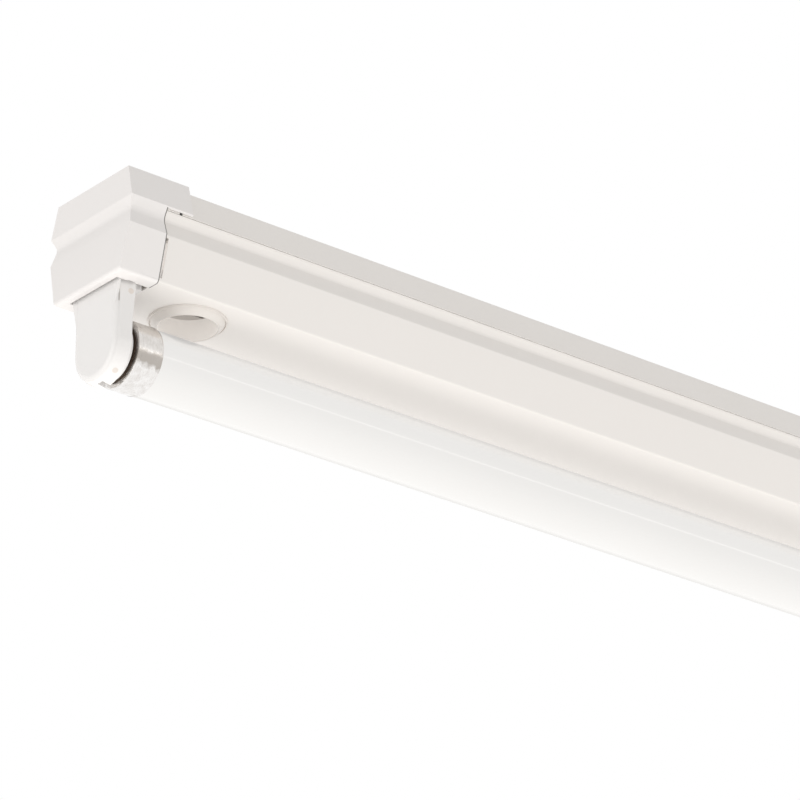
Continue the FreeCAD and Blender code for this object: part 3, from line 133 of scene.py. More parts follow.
# %% Lamps
def soft_lamp(name, position, target, width, watts, colour):
    """Wide square lamp that points at a target and that the camera doesn't see."""
    data = bpy.data.lights.new(name, "AREA")
    data.shape = "SQUARE"
    data.size = width
    data.energy = watts
    data.color = colour
    lamp = bpy.data.objects.new(name, data)
    bpy.context.scene.collection.objects.link(lamp)
    look = (Vector(target) - Vector(position)).to_track_quat("-Z", "Y").to_matrix().to_4x4()
    lamp.matrix_world = Matrix.Translation(position) @ look
    lamp.visible_camera = False
    return lamp


warm_white = (1.0, 0.985, 0.965)
below = soft_lamp("lamp_below", position=(0.0, -0.3, -1.27), target=(0.0, -0.3, 0.0), width=3.6,
                  watts=35.0, colour=warm_white)
beside = soft_lamp("lamp_side", position=(0.9, -1.1, -0.9), target=(0.1, 0.0, -0.04), width=0.8,
                   watts=0.5, colour=warm_white)
for lamp in (below, beside):
    lamp.visible_glossy = False
strip = soft_lamp("lamp_strip", position=(0.3, -1.5, 0.24), target=(0.0, 0.0, -0.06), width=2.4,
                  watts=1.3, colour=warm_white)
strip.data.shape = "RECTANGLE"
strip.data.size_y = 0.12
soft_lamp("lamp_end", position=(-2.0, 0.2, -0.3), target=(-0.3, 0.0, -0.03), width=1.4,
          watts=7.0, colour=(1.0, 0.985, 0.975))
print("lamps:", [data.name for data in bpy.data.lights])

# %% [markdown]
# ## Shared effects
# An effect that several finishes need is made once, as a node group with named sockets. A group
# only gives out colours and values. Each material keeps its own shader and sets its own values.
# Small helpers add and link the nodes, so that each effect reads as a short recipe.


# %% Node helpers
def product(tree, first, *others):
    """Product of sockets or numbers."""
    for other in others:
        first = do_math(tree, "MULTIPLY", first, other)
    return first


def clamped(tree, value):
    """Value held between 0 and 1."""
    return do_math(tree, "MINIMUM", do_math(tree, "MAXIMUM", value, 0.0), 1.0)


def mix_colours(tree, share, first, second):
    """Mix two colour sockets by a share."""
    node = tree.nodes.new("ShaderNodeMix")
    node.data_type = "RGBA"
    tree.links.new(share, node.inputs[0])
    tree.links.new(first, node.inputs[6])
    tree.links.new(second, node.inputs[7])
    return node.outputs[2]


def plain_colour(tree, colour):
    """Socket that gives out one colour."""
    node = tree.nodes.new("ShaderNodeRGB")
    node.outputs[0].default_value = colour
    return node.outputs[0]


def spread(tree, value, low, high):
    """Value from 0 to 1 carried over to the span from low to high."""
    node = tree.nodes.new("ShaderNodeMapRange")
    tree.links.new(value, node.inputs["Value"])
    for name, end in (("To Min", low), ("To Max", high)):
        if isinstance(end, (int, float)):
            node.inputs[name].default_value = end
        else:
            tree.links.new(end, node.inputs[name])
    return node.outputs[0]


# %% [markdown]
# A group starts empty, with its named sockets. Its patterns follow the coordinates of the object
# in metres, so they keep their real size and stay on a piece when it moves.


# %% Helpers for groups and patterns
def start_group(name, inputs, outputs):
    """Empty node group with named sockets; gives the tree, its inputs and its outputs."""
    group = bpy.data.node_groups.new(name, "ShaderNodeTree")
    kinds = {"c": "NodeSocketColor", "v": "NodeSocketFloat", "d": "NodeSocketVector"}
    for label, (kind, value) in inputs.items():
        socket = group.interface.new_socket(name=label, in_out="INPUT", socket_type=kinds[kind])
        socket.default_value = value
    for label, kind in outputs.items():
        group.interface.new_socket(name=label, in_out="OUTPUT", socket_type=kinds[kind])
    given = group.nodes.new("NodeGroupInput").outputs
    return group, given, group.nodes.new("NodeGroupOutput").inputs


def object_axes(tree):
    """Sockets of the object coordinates along X, Y and Z."""
    split = tree.nodes.new("ShaderNodeSeparateXYZ")
    tree.links.new(tree.nodes.new("ShaderNodeTexCoord").outputs["Object"], split.inputs[0])
    return split.outputs


def object_noise(tree, size, detail, stretch=None):
    """Noise on object coordinates whose blots are about one size across, in metres."""
    where = tree.nodes.new("ShaderNodeTexCoord").outputs["Object"]
    if stretch is not None:
        scaled = tree.nodes.new("ShaderNodeVectorMath")
        scaled.operation = "MULTIPLY"
        tree.links.new(where, scaled.inputs[0])
        tree.links.new(stretch, scaled.inputs[1])
        where = scaled.outputs[0]
    noise = tree.nodes.new("ShaderNodeTexNoise")
    noise.inputs["Detail"].default_value = detail
    tree.links.new(where, noise.inputs["Vector"])
    tree.links.new(do_math(tree, "DIVIDE", 1.0, size), noise.inputs["Scale"])
    return noise.outputs[0]


# %% [markdown]
# ### A painted or moulded skin
# Paint and moulded plastic are never one flat colour. Wide clouds drift between two close tones,
# and a fine grain makes gloss and height vary a little: the dimples that powder leaves when it
# flows out in the oven, or the faint texture of a mould.

# %% Group: clouded skin
white = (1.0, 1.0, 1.0, 1.0)
skin_group, given, out = start_group(
    "clouded_skin",
    {"Colour": ("c", white), "Shade": ("c", white), "Cloud Size": ("v", 0.03),
     "Grain Size": ("v", 0.001), "Roughness": ("v", 0.3), "Roughness Range": ("v", 0.05)},
    {"Colour": "c", "Roughness": "v", "Height": "v"})
link = skin_group.links.new
clouds = object_noise(skin_group, given["Cloud Size"], detail=3.0)
link(mix_colours(skin_group, clouds, given["Colour"], given["Shade"]), out["Colour"])
grain = object_noise(skin_group, given["Grain Size"], detail=2.0)
rough_high = do_math(skin_group, "ADD", given["Roughness"], given["Roughness Range"])
link(spread(skin_group, grain, given["Roughness"], rough_high), out["Roughness"])
link(grain, out["Height"])

# %% [markdown]
# ### Lines left by drawing or brushing
# Drawn or brushed metal carries fine lines along one direction. Noise that is stretched that way
# makes them, and wider blots lie over them. Together they set colour, gloss and height.

# %% Group: drawn lines
lines_group, given, out = start_group(
    "drawn_lines",
    {"Colour": ("c", white), "Shade": ("c", white), "Stretch": ("d", (1.0, 0.05, 0.05)),
     "Line Size": ("v", 0.0004), "Cloud Size": ("v", 0.004), "Roughness": ("v", 0.3),
     "Roughness Range": ("v", 0.15)},
    {"Colour": "c", "Roughness": "v", "Height": "v"})
link = lines_group.links.new
lines = object_noise(lines_group, given["Line Size"], detail=4.0, stretch=given["Stretch"])
blots = object_noise(lines_group, given["Cloud Size"], detail=4.0)
share = do_math(lines_group, "MULTIPLY", do_math(lines_group, "ADD", lines, blots), 0.5)
contrast = spread(lines_group, share, -1.0, 2.0)
link(mix_colours(lines_group, contrast, given["Colour"], given["Shade"]), out["Colour"])
rough_high = do_math(lines_group, "ADD", given["Roughness"], given["Roughness Range"])
link(spread(lines_group, lines, given["Roughness"], rough_high), out["Roughness"])
link(lines, out["Height"])

# %% [markdown]
# ### Layers
# A winding, a pile of laminations and a two-coloured wire repeat one step over and over. A ramp
# that is folded to and fro gives the place within a step, and its low part is the gap.

# %% Group: stacked layers
layers_group, given, out = start_group(
    "stacked_layers",
    {"Colour": ("c", white), "Gap Colour": ("c", white), "Across": ("d", (0.0, 0.0, 1.0)),
     "Pitch": ("v", 0.0005), "Gap Share": ("v", 0.3)},
    {"Colour": "c", "Height": "v"})
link = layers_group.links.new
along = layers_group.nodes.new("ShaderNodeVectorMath")
along.operation = "DOT_PRODUCT"
link(layers_group.nodes.new("ShaderNodeTexCoord").outputs["Object"], along.inputs[0])
link(given["Across"], along.inputs[1])
half_pitch = do_math(layers_group, "MULTIPLY", given["Pitch"], 0.5)
phase = do_math(layers_group, "PINGPONG", along.outputs["Value"], half_pitch)
height = do_math(layers_group, "DIVIDE", phase, half_pitch)
in_gap = do_math(layers_group, "LESS_THAN", height, given["Gap Share"])
link(mix_colours(layers_group, in_gap, given["Colour"], given["Gap Colour"]), out["Colour"])
link(height, out["Height"])

# %% [markdown]
# ### Dust on what faces up
# Dust settles on faces that look up, and never evenly. So its share is how far the face looks
# up, times patchy noise.

# %% Group: settled dust
dust_group, given, out = start_group(
    "settled_dust",
    {"Colour": ("c", white), "Dust Colour": ("c", (0.62, 0.58, 0.52, 1.0)),
     "Amount": ("v", 0.25), "Patch Size": ("v", 0.02)},
    {"Colour": "c"})
link = dust_group.links.new
facing = dust_group.nodes.new("ShaderNodeSeparateXYZ")
link(dust_group.nodes.new("ShaderNodeTexCoord").outputs["Normal"], facing.inputs[0])
upward = do_math(dust_group, "MAXIMUM", facing.outputs["Z"], 0.0)
patches = object_noise(dust_group, given["Patch Size"], detail=5.0)
dust_share = product(dust_group, upward, patches, given["Amount"])
link(mix_colours(dust_group, dust_share, given["Colour"], given["Dust Colour"]), out["Colour"])

# %% [markdown]
# ### The line of a joint
# Where the cap meets the cover, the joint is narrower than any edge, and the shade in it is
# painted on the cap as a thin dark line. It lies at one distance from the middle, on both ends,
# and only below the flange of the spine.

# %% Group: joint shadow line
joint_shadow_group, given, out = start_group(
    "joint_shadow_line",
    {"Colour": ("c", white), "Shadow Colour": ("c", (0.2, 0.19, 0.18, 1.0)),
     "Place": ("v", 0.29), "Half Width": ("v", 0.0002), "Top": ("v", -0.013)},
    {"Colour": "c"})
link = joint_shadow_group.links.new
axes = object_axes(joint_shadow_group)
from_middle = do_math(joint_shadow_group, "ABSOLUTE", axes["X"])
off = do_math(joint_shadow_group, "ABSOLUTE",
              do_math(joint_shadow_group, "SUBTRACT", from_middle, given["Place"]))
near = do_math(joint_shadow_group, "LESS_THAN", off, given["Half Width"])
low = do_math(joint_shadow_group, "LESS_THAN", axes["Z"], given["Top"])
in_shadow_line = product(joint_shadow_group, near, low)
link(mix_colours(joint_shadow_group, in_shadow_line, given["Colour"], given["Shadow Colour"]), out["Colour"])

# %% [markdown]
# ### Painted reflections on the lamp's shells
# Painted reflection: the metal shell of the lamp is painted bright below and dull above, as it
# would mirror the white ground below and the grey fitting above, with a darker band where the two
# meet. Height alone decides which is which, and noise makes the border ragged.

# %% Group: painted reflection
painted_reflection_group, given, out = start_group(
    "painted_reflection",
    {"Colour": ("c", white), "Reflection Shade Colour": ("c", (0.4, 0.36, 0.32, 1.0)),
     "Edge": ("v", 0.0), "Band Top": ("v", 0.004), "Softness": ("v", 0.0016),
     "Amount": ("v", 0.34), "Band Amount": ("v", 0.48)},
    {"Colour": "c"})
link = painted_reflection_group.links.new
BORDER_SWING = 0.004
blots = object_noise(painted_reflection_group, size=0.0025, detail=4.0)
ragged = do_math(painted_reflection_group, "MULTIPLY", blots, BORDER_SWING)
level = do_math(painted_reflection_group, "ADD", object_axes(painted_reflection_group)["Z"], ragged)


def rises(name):
    """Share that goes from 0 to 1 over the softness above a level."""
    over = do_math(painted_reflection_group, "SUBTRACT", level, given[name])
    return clamped(painted_reflection_group, do_math(painted_reflection_group, "DIVIDE", over, given["Softness"]))


below_band = do_math(painted_reflection_group, "SUBTRACT", 1.0, rises("Band Top"))
amount = do_math(painted_reflection_group, "ADD", given["Amount"],
                 product(painted_reflection_group, below_band, given["Band Amount"]))
reflection_shade_share = product(painted_reflection_group, rises("Edge"), amount)
link(mix_colours(painted_reflection_group, reflection_shade_share, given["Colour"], given["Reflection Shade Colour"]),
     out["Colour"])

# %% [markdown]
# ### Painted light in the starter hole
# The bush is thin, and its bore is lit with painted light: no lamp fits in there, so the bore gets
# a faint glow of its own, wherever the distance from the hole's axis is less than a radius.


# %% Group: bore light
def glow_where(tree, region, given, out):
    """Give out the light inside a region, and black elsewhere."""
    dark = plain_colour(tree, (0.0, 0.0, 0.0, 1.0))
    tree.links.new(mix_colours(tree, region, dark, given["Light"]), out["Glow"])


bore_group, given, out = start_group(
    "bore_light", {"Centre": ("v", 0.0), "Radius": ("v", 0.011), "Light": ("c", white)},
    {"Glow": "c"})
axes = object_axes(bore_group)
aside = do_math(bore_group, "SUBTRACT", axes["X"], given["Centre"])
squares = [do_math(bore_group, "POWER", leg, 2.0) for leg in (aside, axes["Y"])]
from_axis = do_math(bore_group, "SQRT", do_math(bore_group, "ADD", *squares))
glow_where(bore_group, do_math(bore_group, "LESS_THAN", from_axis, given["Radius"]), given, out)

# %% [markdown]
# Some of that painted light is laid on the inside of the cover too, across from the hole, as a
# glow.
# The region is near the hole along the fitting, between two heights, and inward of the sheet's
# inner face, which leans with the cover's side.

# %% Group: inside light
inside_group, given, out = start_group(
    "inside_light",
    {"Centre": ("v", 0.0), "Reach": ("v", 0.04), "Slope": ("v", 0.25),
     "Inner Face": ("v", 0.0294), "Top": ("v", -0.024), "Bottom": ("v", -0.036),
     "Light": ("c", white)},
    {"Glow": "c"})
x, y, z = object_axes(inside_group)
aside = do_math(inside_group, "SUBTRACT", x, given["Centre"])
lean = do_math(inside_group, "MULTIPLY", z, given["Slope"])
depth = do_math(inside_group, "SUBTRACT", do_math(inside_group, "ABSOLUTE", y), lean)
limits = ((do_math(inside_group, "ABSOLUTE", aside), given["Reach"]),
          (depth, given["Inner Face"]), (z, given["Top"]), (given["Bottom"], z))
checks = [do_math(inside_group, "LESS_THAN", low, high) for low, high in limits]
glow_where(inside_group, product(inside_group, *checks), given, out)
print("shared effects:", [group.name for group in bpy.data.node_groups])

# %% [markdown]
# ## Finishes
# Every finish is one Principled shader fed by a group. The builder makes the material, links the
# group to it, lays dust, a joint's painted shadow line or painted reflections over the colour, and
# sets the plain values on the shader itself.


# %% Finish builder
def group_node(tree, group, feeds):
    """Node of a shared group with values for its named inputs."""
    node = tree.nodes.new("ShaderNodeGroup")
    node.node_tree = group
    for label, value in feeds.items():
        node.inputs[label].default_value = value
    return node


def finish(name, group, feeds, bump=None, over=(), glow=None, **plain):
    """Material whose shader is fed by a group; plain values go straight on the shader.

    Each group in over changes the colour in turn, and glow is a group that gives out light.
    """
    made = bpy.data.materials.new(name)
    made.use_nodes = True
    tree = made.node_tree
    shader = tree.nodes["Principled BSDF"]
    effect = group_node(tree, group, feeds)
    colour = effect.outputs["Colour"]
    for more_group, more_feeds in over:
        more = group_node(tree, more_group, more_feeds)
        tree.links.new(colour, more.inputs["Colour"])
        colour = more.outputs["Colour"]
    if glow:
        light = group_node(tree, *glow)
        tree.links.new(light.outputs["Glow"], shader.inputs["Emission Color"])
    tree.links.new(colour, shader.inputs["Base Color"])
    if "Roughness" in effect.outputs:
        tree.links.new(effect.outputs["Roughness"], shader.inputs["Roughness"])
    if bump:
        bumps = tree.nodes.new("ShaderNodeBump")
        bumps.inputs["Strength"].default_value = 1.0
        bumps.inputs["Distance"].default_value = bump
        tree.links.new(effect.outputs["Height"], bumps.inputs["Height"])
        tree.links.new(bumps.outputs["Normal"], shader.inputs["Normal"])
    for label, value in plain.items():
        shader.inputs[label.replace("_", " ")].default_value = value
    return made


def rgb(red, green, blue):
    """Colour with full alpha."""
    return (red, green, blue, 1.0)


# %% [markdown]
# ### Whites
# The enamel is a satin white with the faint dimples of baked powder. The end caps are smoother and
# a touch cooler, and the bush is warmer.

# %% Enamel, end caps and bush
hole_centre = sum(corner.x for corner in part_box("starter_hole_bush")) / 2
JOINT_GAP = 0.0003
joint_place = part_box("cover")[1].x + JOINT_GAP
# painted light: the enamel glows faintly inside the cover, near the starter's hole
enamel = finish("white_enamel", skin_group,
                {"Colour": rgb(0.86, 0.83, 0.80), "Shade": rgb(0.84, 0.81, 0.78),
                 "Cloud Size": 0.12, "Grain Size": 0.0016, "Roughness": 0.30,
                 "Roughness Range": 0.08}, bump=0.00002, over=[(dust_group, {"Amount": 0.5})],
                glow=(inside_group, {"Centre": hole_centre, "Light": rgb(1.0, 0.92, 0.84)}),
                Emission_Strength=0.28)
# painted shade: the cap moulding carries a thin dark line at its joint with the cover
moulding = finish("white_moulding", skin_group,
                  {"Colour": rgb(0.86, 0.835, 0.82), "Shade": rgb(0.835, 0.81, 0.795),
                   "Cloud Size": 0.03, "Grain Size": 0.0004, "Roughness": 0.34,
                   "Roughness Range": 0.06}, bump=0.000004,
                  over=[(joint_shadow_group, {"Place": joint_place}), (dust_group, {"Amount": 0.4})])
# painted light: the bush's bore glows faintly
bush_moulding = finish("bush_moulding", skin_group,
                       {"Colour": rgb(0.82, 0.78, 0.74), "Shade": rgb(0.79, 0.75, 0.71),
                        "Cloud Size": 0.01, "Grain Size": 0.0004, "Roughness": 0.3,
                        "Roughness Range": 0.06}, bump=0.000004,
                       glow=(bore_group, {"Centre": hole_centre, "Radius": 0.01105,
                                          "Light": rgb(1.0, 0.96, 0.92)}),
                       Emission_Strength=0.26)

# %% [markdown]
# The lampholders are the smoothest, and let a little light into their thin walls. The marks on
# them are beige, and the terminal block is a natural, creamy white.

# %% Lampholders and terminals
holder_white = finish("holder_moulding", skin_group,
                      {"Colour": rgb(0.86, 0.845, 0.835), "Shade": rgb(0.84, 0.825, 0.81),
                       "Cloud Size": 0.012, "Grain Size": 0.0003, "Roughness": 0.22,
                       "Roughness Range": 0.06}, bump=0.000002, Subsurface_Weight=0.1,
                      Subsurface_Radius=(1.0, 1.0, 1.0), Subsurface_Scale=0.002)
holder_beige = finish("holder_beige", skin_group,
                      {"Colour": rgb(0.78, 0.72, 0.67), "Shade": rgb(0.72, 0.66, 0.61),
                       "Cloud Size": 0.004, "Grain Size": 0.0003, "Roughness": 0.35,
                       "Roughness Range": 0.1}, bump=0.000002)
terminal_white = finish("terminal_moulding", skin_group,
                        {"Colour": rgb(0.76, 0.74, 0.68), "Shade": rgb(0.70, 0.68, 0.61),
                         "Cloud Size": 0.01, "Grain Size": 0.0004, "Roughness": 0.4,
                         "Roughness Range": 0.1}, bump=0.000004)

# %% [markdown]
# ### The lamp's finishes
# The lamp is white powder behind glass, so it has a matt body under a clear, glossy coat, and it
# glows. The shells are drawn aluminium with painted reflections, dull above and bright below, and
# the discs are brown board. Inside, the stems are clear glass.

# %% Lamp finishes
lamp_white = finish("lamp_glass", skin_group,
                    {"Colour": rgb(0.30, 0.296, 0.288), "Shade": rgb(0.28, 0.276, 0.268),
                     "Cloud Size": 0.05, "Grain Size": 0.003, "Roughness": 0.35,
                     "Roughness Range": 0.03}, Coat_Roughness=0.03, Coat_IOR=1.5,
                    Emission_Strength=0.53)
# painted reflection: the shell is darkened above and in a band, as mirrored shade
lamp_metal = finish("lamp_aluminium", lines_group,
                    {"Colour": rgb(0.97, 0.955, 0.94), "Shade": rgb(0.78, 0.75, 0.72),
                     "Stretch": (1.0, 0.35, 0.35), "Line Size": 0.0004, "Cloud Size": 0.003,
                     "Roughness": 0.16, "Roughness Range": 0.16}, bump=0.00001,
                    over=[(painted_reflection_group, {"Edge": -0.0692, "Band Top": -0.0642})], Metallic=1.0)
lamp_brown = finish("brown_insulator", skin_group,
                    {"Colour": rgb(0.16, 0.115, 0.085), "Shade": rgb(0.09, 0.065, 0.05),
                     "Cloud Size": 0.003, "Grain Size": 0.0004, "Roughness": 0.45,
                     "Roughness Range": 0.15}, bump=0.00002)
clear_stem = finish("stem_glass", skin_group,
                    {"Colour": rgb(0.90, 0.92, 0.92), "Shade": rgb(0.84, 0.87, 0.87),
                     "Cloud Size": 0.006, "Grain Size": 0.001, "Roughness": 0.05,
                     "Roughness Range": 0.04}, Transmission_Weight=0.85, IOR=1.5)

# %% [markdown]
# White on white, the tube would have no outline. In the photograph its rim is greyer, where the
# glass is looked at along its surface. So past a certain slant the glow turns from white to grey
# and the glossy coat fades out.

# %% Rim of the glass
RIM_START = 0.64
RIM_WIDTH = 0.16
glass_tree = lamp_white.node_tree
glass_shader = glass_tree.nodes["Principled BSDF"]
facing = glass_tree.nodes.new("ShaderNodeLayerWeight").outputs["Facing"]
past_start = do_math(glass_tree, "SUBTRACT", facing, RIM_START)
rim = clamped(glass_tree, do_math(glass_tree, "DIVIDE", past_start, RIM_WIDTH))
coat = do_math(glass_tree, "SUBTRACT", 1.0, rim)
glass_tree.links.new(coat, glass_shader.inputs["Coat Weight"])
middle_glow = plain_colour(glass_tree, rgb(1.0, 0.985, 0.967))
rim_glow = plain_colour(glass_tree, rgb(0.70, 0.69, 0.68))
glass_tree.links.new(mix_colours(glass_tree, rim, middle_glow, rim_glow),
                     glass_shader.inputs["Emission Color"])

# %% [markdown]
# ### Metals
# Zinc plate, brass, bronze strip and the drawn can share the lines group, with a stretch of their
# own. The core and the winding are built up in layers, so they use the layers group under a coat
# of varnish.

# %% Metal finishes
zinc = finish("zinc_steel", lines_group,
              {"Colour": rgb(0.66, 0.67, 0.68), "Shade": rgb(0.50, 0.515, 0.54),
               "Stretch": (0.4, 1.0, 1.0), "Line Size": 0.0012, "Cloud Size": 0.006,
               "Roughness": 0.30, "Roughness Range": 0.18}, bump=0.00001, Metallic=1.0)
brass = finish("brass", lines_group,
               {"Colour": rgb(0.76, 0.62, 0.34), "Shade": rgb(0.60, 0.47, 0.25),
                "Stretch": (1.0, 0.3, 0.3), "Line Size": 0.0005, "Cloud Size": 0.003,
                "Roughness": 0.22, "Roughness Range": 0.15}, bump=0.000005, Metallic=1.0)
bronze = finish("bronze", lines_group,
                {"Colour": rgb(0.68, 0.46, 0.26), "Shade": rgb(0.52, 0.33, 0.18),
                 "Stretch": (0.3, 0.3, 1.0), "Line Size": 0.0005, "Cloud Size": 0.003,
                 "Roughness": 0.3, "Roughness Range": 0.15}, bump=0.000005, Metallic=1.0)
can_metal = finish("can_aluminium", lines_group,
                   {"Colour": rgb(0.72, 0.73, 0.74), "Shade": rgb(0.60, 0.61, 0.63),
                    "Stretch": (0.05, 1.0, 1.0), "Line Size": 0.0006, "Cloud Size": 0.01,
                    "Roughness": 0.28, "Roughness Range": 0.12}, bump=0.00001, Metallic=1.0)
laminations = finish("core_steel", layers_group,
                     {"Colour": rgb(0.05, 0.05, 0.055), "Gap Colour": rgb(0.012, 0.012, 0.014),
                      "Across": (1.0, 0.0, 0.0), "Pitch": 0.001, "Gap Share": 0.3},
                     bump=0.00008, Roughness=0.35, Coat_Weight=0.5, Coat_Roughness=0.2)
winding = finish("copper_winding", layers_group,
                 {"Colour": rgb(0.50, 0.20, 0.08), "Gap Colour": rgb(0.14, 0.05, 0.02),
                  "Across": (0.0, 0.0, 1.0), "Pitch": 0.0006, "Gap Share": 0.25}, bump=0.00012,
                 Roughness=0.3, Metallic=0.6, Coat_Weight=0.6, Coat_Roughness=0.15)

# %% [markdown]
# ### Rubber and insulation
# The grommet and the wires share one soft, slightly glossy skin and differ only in colour. The
# earth wire has two colours, so it uses the layers group, with its stripes on a slant.


# %% Rubber and wire insulation
def insulation(name, colour, shade):
    """Smooth, slightly glossy insulation of one wire."""
    return finish(name, skin_group,
                  {"Colour": colour, "Shade": shade, "Cloud Size": 0.008, "Grain Size": 0.0006,
                   "Roughness": 0.34, "Roughness Range": 0.12}, bump=0.00001)


rubber = insulation("black_rubber", rgb(0.035, 0.035, 0.035), rgb(0.02, 0.02, 0.02))
brown_wire = insulation("brown_insulation", rgb(0.16, 0.06, 0.025), rgb(0.11, 0.04, 0.018))
blue_wire = insulation("blue_insulation", rgb(0.05, 0.16, 0.45), rgb(0.035, 0.11, 0.34))
white_wire = insulation("white_insulation", rgb(0.78, 0.77, 0.74), rgb(0.70, 0.69, 0.66))
grey_wire = insulation("grey_insulation", rgb(0.28, 0.29, 0.30), rgb(0.22, 0.225, 0.235))
earth_wire = finish("green_insulation", layers_group,
                    {"Colour": rgb(0.12, 0.36, 0.06), "Gap Colour": rgb(0.75, 0.62, 0.06),
                     "Across": (0.35, 1.0, 0.2), "Pitch": 0.0024, "Gap Share": 0.35},
                    Roughness=0.35)
print("materials:", len(bpy.data.materials))

# %% [markdown]
# ## Parts that keep the frame's shape
# The gear inside, the contacts, the pins and the wires already have the right shape, so they
# only get a finish. Each slot of the record has one material.

# %% Dress the kept parts
finish_of = {
    "white_enamel": enamel, "white_moulding": moulding, "holder_moulding": holder_white,
    "zinc_steel": zinc, "core_steel": laminations, "copper_winding": winding,
    "terminal_moulding": terminal_white, "can_aluminium": can_metal,
    "lamp_aluminium": lamp_metal, "brown_insulator": lamp_brown, "brass": brass,
    "bronze": bronze, "lamp_glass": lamp_white, "stem_glass": clear_stem,
    "black_rubber": rubber, "brown_insulation": brown_wire, "blue_insulation": blue_wire,
    "white_insulation": white_wire, "grey_insulation": grey_wire,
    "green_insulation": earth_wire}
slot_of = {part["node"]: part["material_slot"] for part in frame["record"]["subparts"]}
for name, slot in slot_of.items():
    for place_of_material in nodes[name].material_slots:
        place_of_material.material = finish_of[slot]
print("dressed", len(slot_of), "parts")

# %% [markdown]
# ## Making a piece
# A new piece starts as a bmesh and ends as an object that rides on the body it belongs to. It
# takes its finish from the same slot as the part it stands for. Faces that meet at a small angle
# are shaded as one smooth surface, and sharper edges stay crisp.

# %% Piece helpers
MM = 0.001
AXIS_LEVEL = (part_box("lamp_tube")[0].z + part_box("lamp_tube")[1].z) / 2
LEFT_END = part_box("end_cap_left")[0].x
print("lamp axis at", round(AXIS_LEVEL / MM, 2), "mm, left end at", round(LEFT_END / MM, 2), "mm")


def keep_piece(bm, name, body, slot, replaced=(), smooth=35.0, look=None):
    """Turn a bmesh into a finished piece that rides on a body, in its slot's finish or a look."""
    mesh = bpy.data.meshes.new(name)
    bm.to_mesh(mesh)
    bm.free()
    mesh.materials.append(look or finish_of[slot])
    mesh.shade_smooth()
    mesh.set_sharp_from_angle(angle=math.radians(smooth))
    piece = bpy.data.objects.new(name, mesh)
    bpy.context.scene.collection.objects.link(piece)
    even = piece.modifiers.new("even_shading", "WEIGHTED_NORMAL")
    even.keep_sharp = True
    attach(piece, body)
    if replaced:
        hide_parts(*replaced)
    print(name, len(mesh.polygons), "faces")


def turned(profile, centre, direction, steps):
    """Closed solid of revolution from (along, radius) points, about a line through a centre."""
    bm = bmesh.new()
    direction = Vector(direction)
    outward = direction.orthogonal().normalized()
    points = [bm.verts.new(Vector(centre) + direction * along + outward * radius)
              for along, radius in profile]
    rim = [bm.edges.new(pair) for pair in zip(points, points[1:] + points[:1])]
    bmesh.ops.spin(bm, geom=points + rim, cent=centre, axis=direction, angle=2 * math.pi,
                   steps=steps, use_merge=True)
    bmesh.ops.remove_doubles(bm, verts=bm.verts, dist=MM / 1000)
    bmesh.ops.recalc_face_normals(bm, faces=bm.faces)
    return bm


def ease(bm, edges, width, segments):
    """Round edges off by a width."""
    bmesh.ops.bevel(bm, geom=edges, offset=width, offset_type="OFFSET", segments=segments,
                    profile=0.5, affect="EDGES", clamp_overlap=True, material=-1)


def sharp_edges(bm, angle, length=0.0):
    """Edges between two faces that turn by more than an angle and are longer than a length."""
    return [edge for edge in bm.edges if edge.is_manifold and edge.calc_length() > length
            and edge.calc_face_angle(0.0) > math.radians(angle)]


# %% [markdown]
# ## The lamp
# A fluorescent lamp is a straight glass tube, white inside, with a drawn metal shell cemented
# on each end. Everything on it is round, so every piece is a profile spun about the lamp's axis.
# The glass is drawn in to a shoulder at each end.

# %% Glass tube
LAMP_AXIS = (1, 0, 0)
LAMP_STEPS = 128
lamp_centre = (0.0, 0.0, AXIS_LEVEL)
tube_low, tube_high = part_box("lamp_tube")
tube_radius = (tube_high.z - tube_low.z) / 2
tube_end = tube_high.x
wall = 0.8 * MM
shoulder = 4.3 * MM
neck = tube_radius / 2
outside = [(tube_end, neck), (tube_end, tube_radius - shoulder),
           (tube_end - shoulder, tube_radius)]
inside = [(tube_end - shoulder, tube_radius - wall),
          (tube_end - wall, tube_radius - shoulder - wall / 2), (tube_end - wall, neck)]
tube = turned(outside + [(-x, radius) for x, radius in reversed(outside)]
              + [(-x, radius) for x, radius in reversed(inside)] + inside,
              lamp_centre, LAMP_AXIS, LAMP_STEPS)
ease(tube, sharp_edges(tube, angle=20.0), width=0.5 * MM, segments=3)
keep_piece(tube, "glass_tube", "lamp", "lamp_glass", replaced=["lamp_tube"], smooth=40.0)

# %% [markdown]
# The metal shell has a rolled ring at its end face, with a shallow groove behind it, and a bead
# at its mouth, where the glass goes in. Its profile is drawn in that order, then back along the
# inside, where it touches the glass.


# %% Metal shells
def metal_shell(side, word):
    """Spun shell: rolled end ring, plain barrel, and a bead at the mouth."""
    near, face = sorted(abs(corner.x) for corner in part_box("lamp_cap_" + word))
    mouth = face - near
    barrel = tube_radius + 0.2 * MM
    opening = barrel - 2.0 * MM
    bead = barrel + 0.14 * MM
    gauge = 0.6 * MM
    end_ring = [(0.0, opening), (0.0, barrel - 0.45 * MM), (0.12 * MM, barrel - 0.2 * MM),
                (0.45 * MM, barrel)]
    groove = [(1.5 * MM, barrel), (1.75 * MM, barrel - 0.12 * MM), (2.0 * MM, barrel)]
    mouth_bead = [(mouth - 1.4 * MM, barrel), (mouth - 1.1 * MM, bead),
                  (mouth - 0.5 * MM, bead), (mouth - 0.2 * MM, barrel),
                  (mouth, barrel - 0.05 * MM)]
    lining = [(mouth, tube_radius), (gauge, tube_radius), (gauge, opening)]
    steps = end_ring + groove + mouth_bead + lining
    shell = turned([(side * (face - along), radius) for along, radius in steps],
                   lamp_centre, LAMP_AXIS, LAMP_STEPS)
    keep_piece(shell, "lamp_shell_" + word, "lamp", "lamp_aluminium",
               replaced=["lamp_cap_" + word], smooth=50.0)


# %% [markdown]
# The brown disc closes the shell and carries the two contact pins. Its middle is a little
# raised, its rim has a chamfer, and a brass collar holds each pin.


